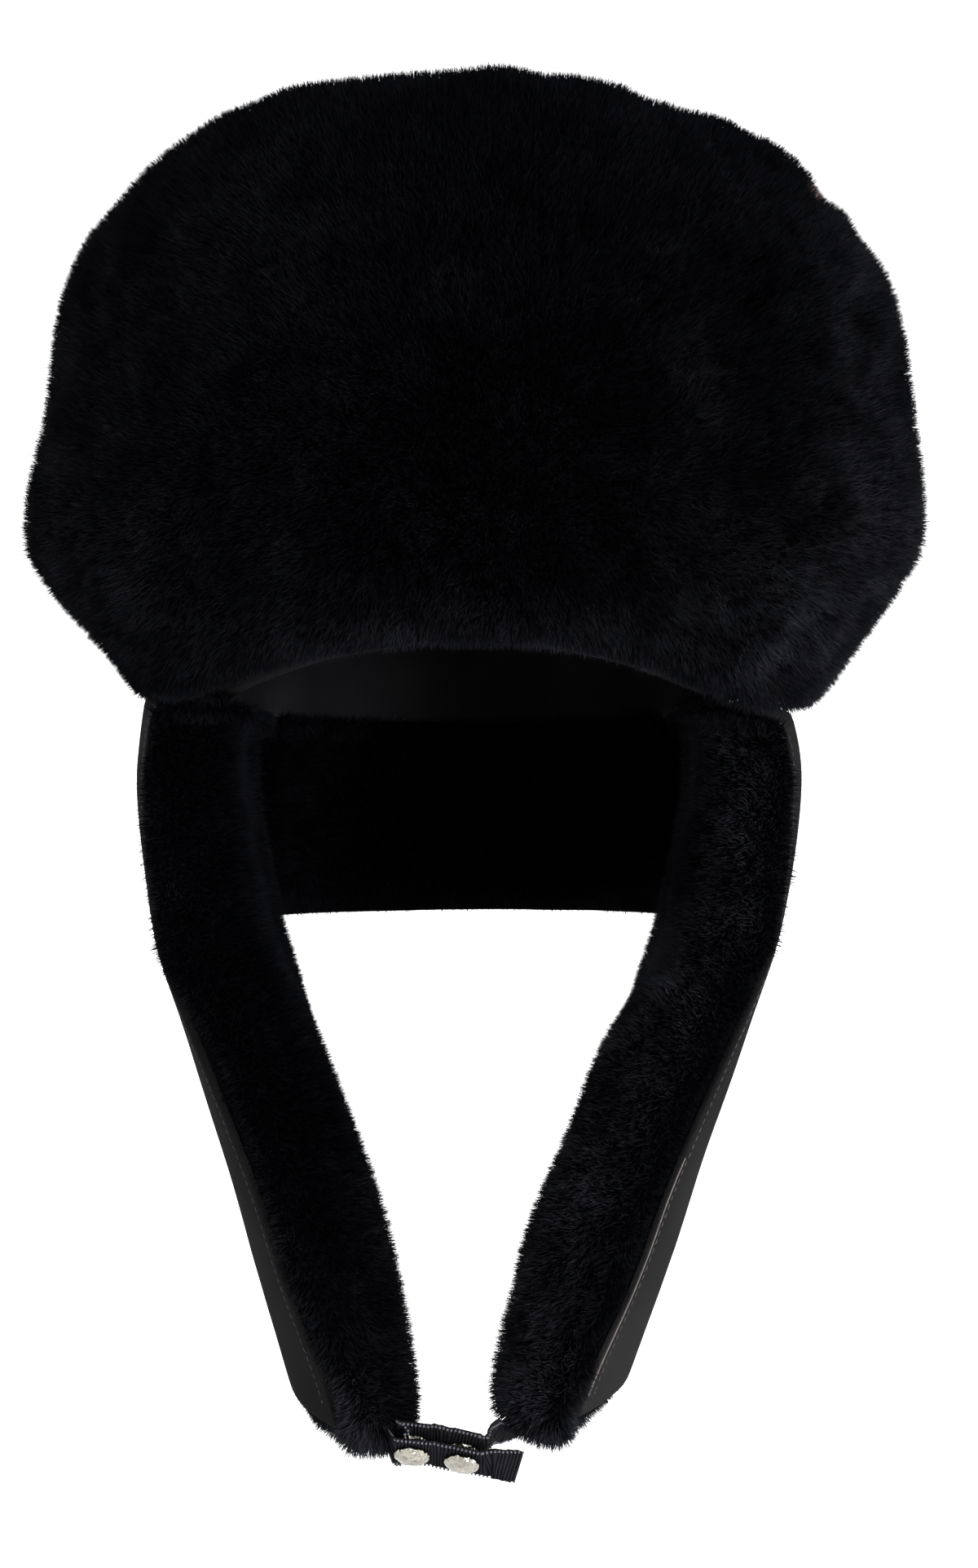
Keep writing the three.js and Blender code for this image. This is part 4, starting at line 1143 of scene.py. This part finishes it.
scene.view_settings.view_transform = "Standard"
make_camera()
FUR_TONE, WEAVE, WEAR = fur_tone_group(), weave_group(), wear_group()
PILE, STITCH, ROLL = pile_tree(), stitch_tree(), roll_tree()
FUR = fur_material("black_fur", root=(0.0006, 0.0007, 0.0012), tip=(0.0205, 0.021, 0.0255), cloud_scale=70.0)
SHELL_CLOTH = cloth_material(
    "flap_cloth", dark=(0.0022, 0.0022, 0.0024), light=(0.0054, 0.0053, 0.0054),
    roughness=0.8, pitch=WEAVE_PITCH * MM, wear_scale=35.0,
)
CROWN_CLOTH = cloth_material(
    "crown_cloth", dark=(0.003, 0.003, 0.0034), light=(0.008, 0.008, 0.009),
    roughness=0.8, pitch=WEAVE_PITCH * MM, wear_scale=30.0,
)
GROSGRAIN = cloth_material(
    "grosgrain", dark=(0.0008, 0.0008, 0.001), light=(0.0055, 0.0055, 0.0066),
    roughness=0.8, pitch=0.4 * MM, wear_scale=120.0,
)
THREAD = thread_material("black_thread", (0.012, 0.012, 0.014))
PICOT = thread_material("picot_thread", (0.032, 0.032, 0.04))
HIDE_EDGE = thread_material("hide_edge", (0.035, 0.027, 0.025))
HAMMERED = metal_material("hammered_nickel", (0.27, 0.255, 0.22), hammer=900.0)

make_fur(
    "front_flap_fur", "front_flap_backing", comb_front, NAP_LIGHT_FRONT, CREASES_FRONT,
    lump=1.3, batches=(2.6, 2.6), seed=3,
)
make_fur(
    "ear_flap_right_fur", "ear_flap_right_shell", comb_down, NAP_LIGHT_EAR_RIGHT, NO_ROWS,
    lump=0.9, batches=(3.4,), seed=5, side=-1,
)
make_fur(
    "ear_flap_left_fur", "ear_flap_left_shell", comb_down, NAP_LIGHT_EAR_LEFT, CREASES_EAR_LEFT,
    lump=0.9, batches=(3.4,), seed=7, side=1,
)
make_fur(
    "nape_flap_fur", "nape_flap_shell", comb_down, NO_ROWS, NO_ROWS,
    lump=0.7, batches=(3.0,), seed=9,
)

backing = make_cloth(
    "front_flap_backing", "front_flap_cloth", front_plan, SHELL_CLOTH, "shell_cloth",
    rounding=1, ripple=0.1, drag=(1, 1, 1), seed=21,
)
right_shell = make_cloth(
    "ear_flap_right_shell", "ear_flap_right_cloth", side_plan, SHELL_CLOTH, "shell_cloth",
    rounding=2, ripple=0.35, drag=(0.4, 1, 0.35), seed=22,
)
left_shell = make_cloth(
    "ear_flap_left_shell", "ear_flap_left_cloth", side_plan, SHELL_CLOTH, "shell_cloth",
    rounding=2, ripple=0.35, drag=(0.4, 1, 0.35), seed=23,
)
nape_shell = make_cloth(
    "nape_flap_shell", "nape_flap_cloth", round_plan, SHELL_CLOTH, "shell_cloth",
    rounding=2, ripple=0.3, drag=(0.6, 1, 0.5), seed=24,
)
crown_piece = make_cloth(
    "crown", "crown_cap", round_plan, CROWN_CLOTH, "crown_cloth",
    rounding=2, ripple=0.25, drag=(1, 1, 0.6), seed=25,
)
hem_stitches(right_shell, -1, "ear_flap_right_hem_stitches")
hem_stitches(left_shell, 1, "ear_flap_left_hem_stitches")
edge_roll(left_shell, 1, "ear_flap_left_edge_roll")
crown_seams(crown_piece)

make_ribbon("chin_strap_front", folded=1)
make_ribbon("chin_strap_back", folded=0)
make_cap(1)
make_cap(2)
for name in ("snap_socket_1", "snap_socket_2", "snap_stud_1", "snap_stud_2"):
    nodes[name].data.materials.clear()
    nodes[name].data.materials.append(HAMMERED)
make_stage()
make_light()
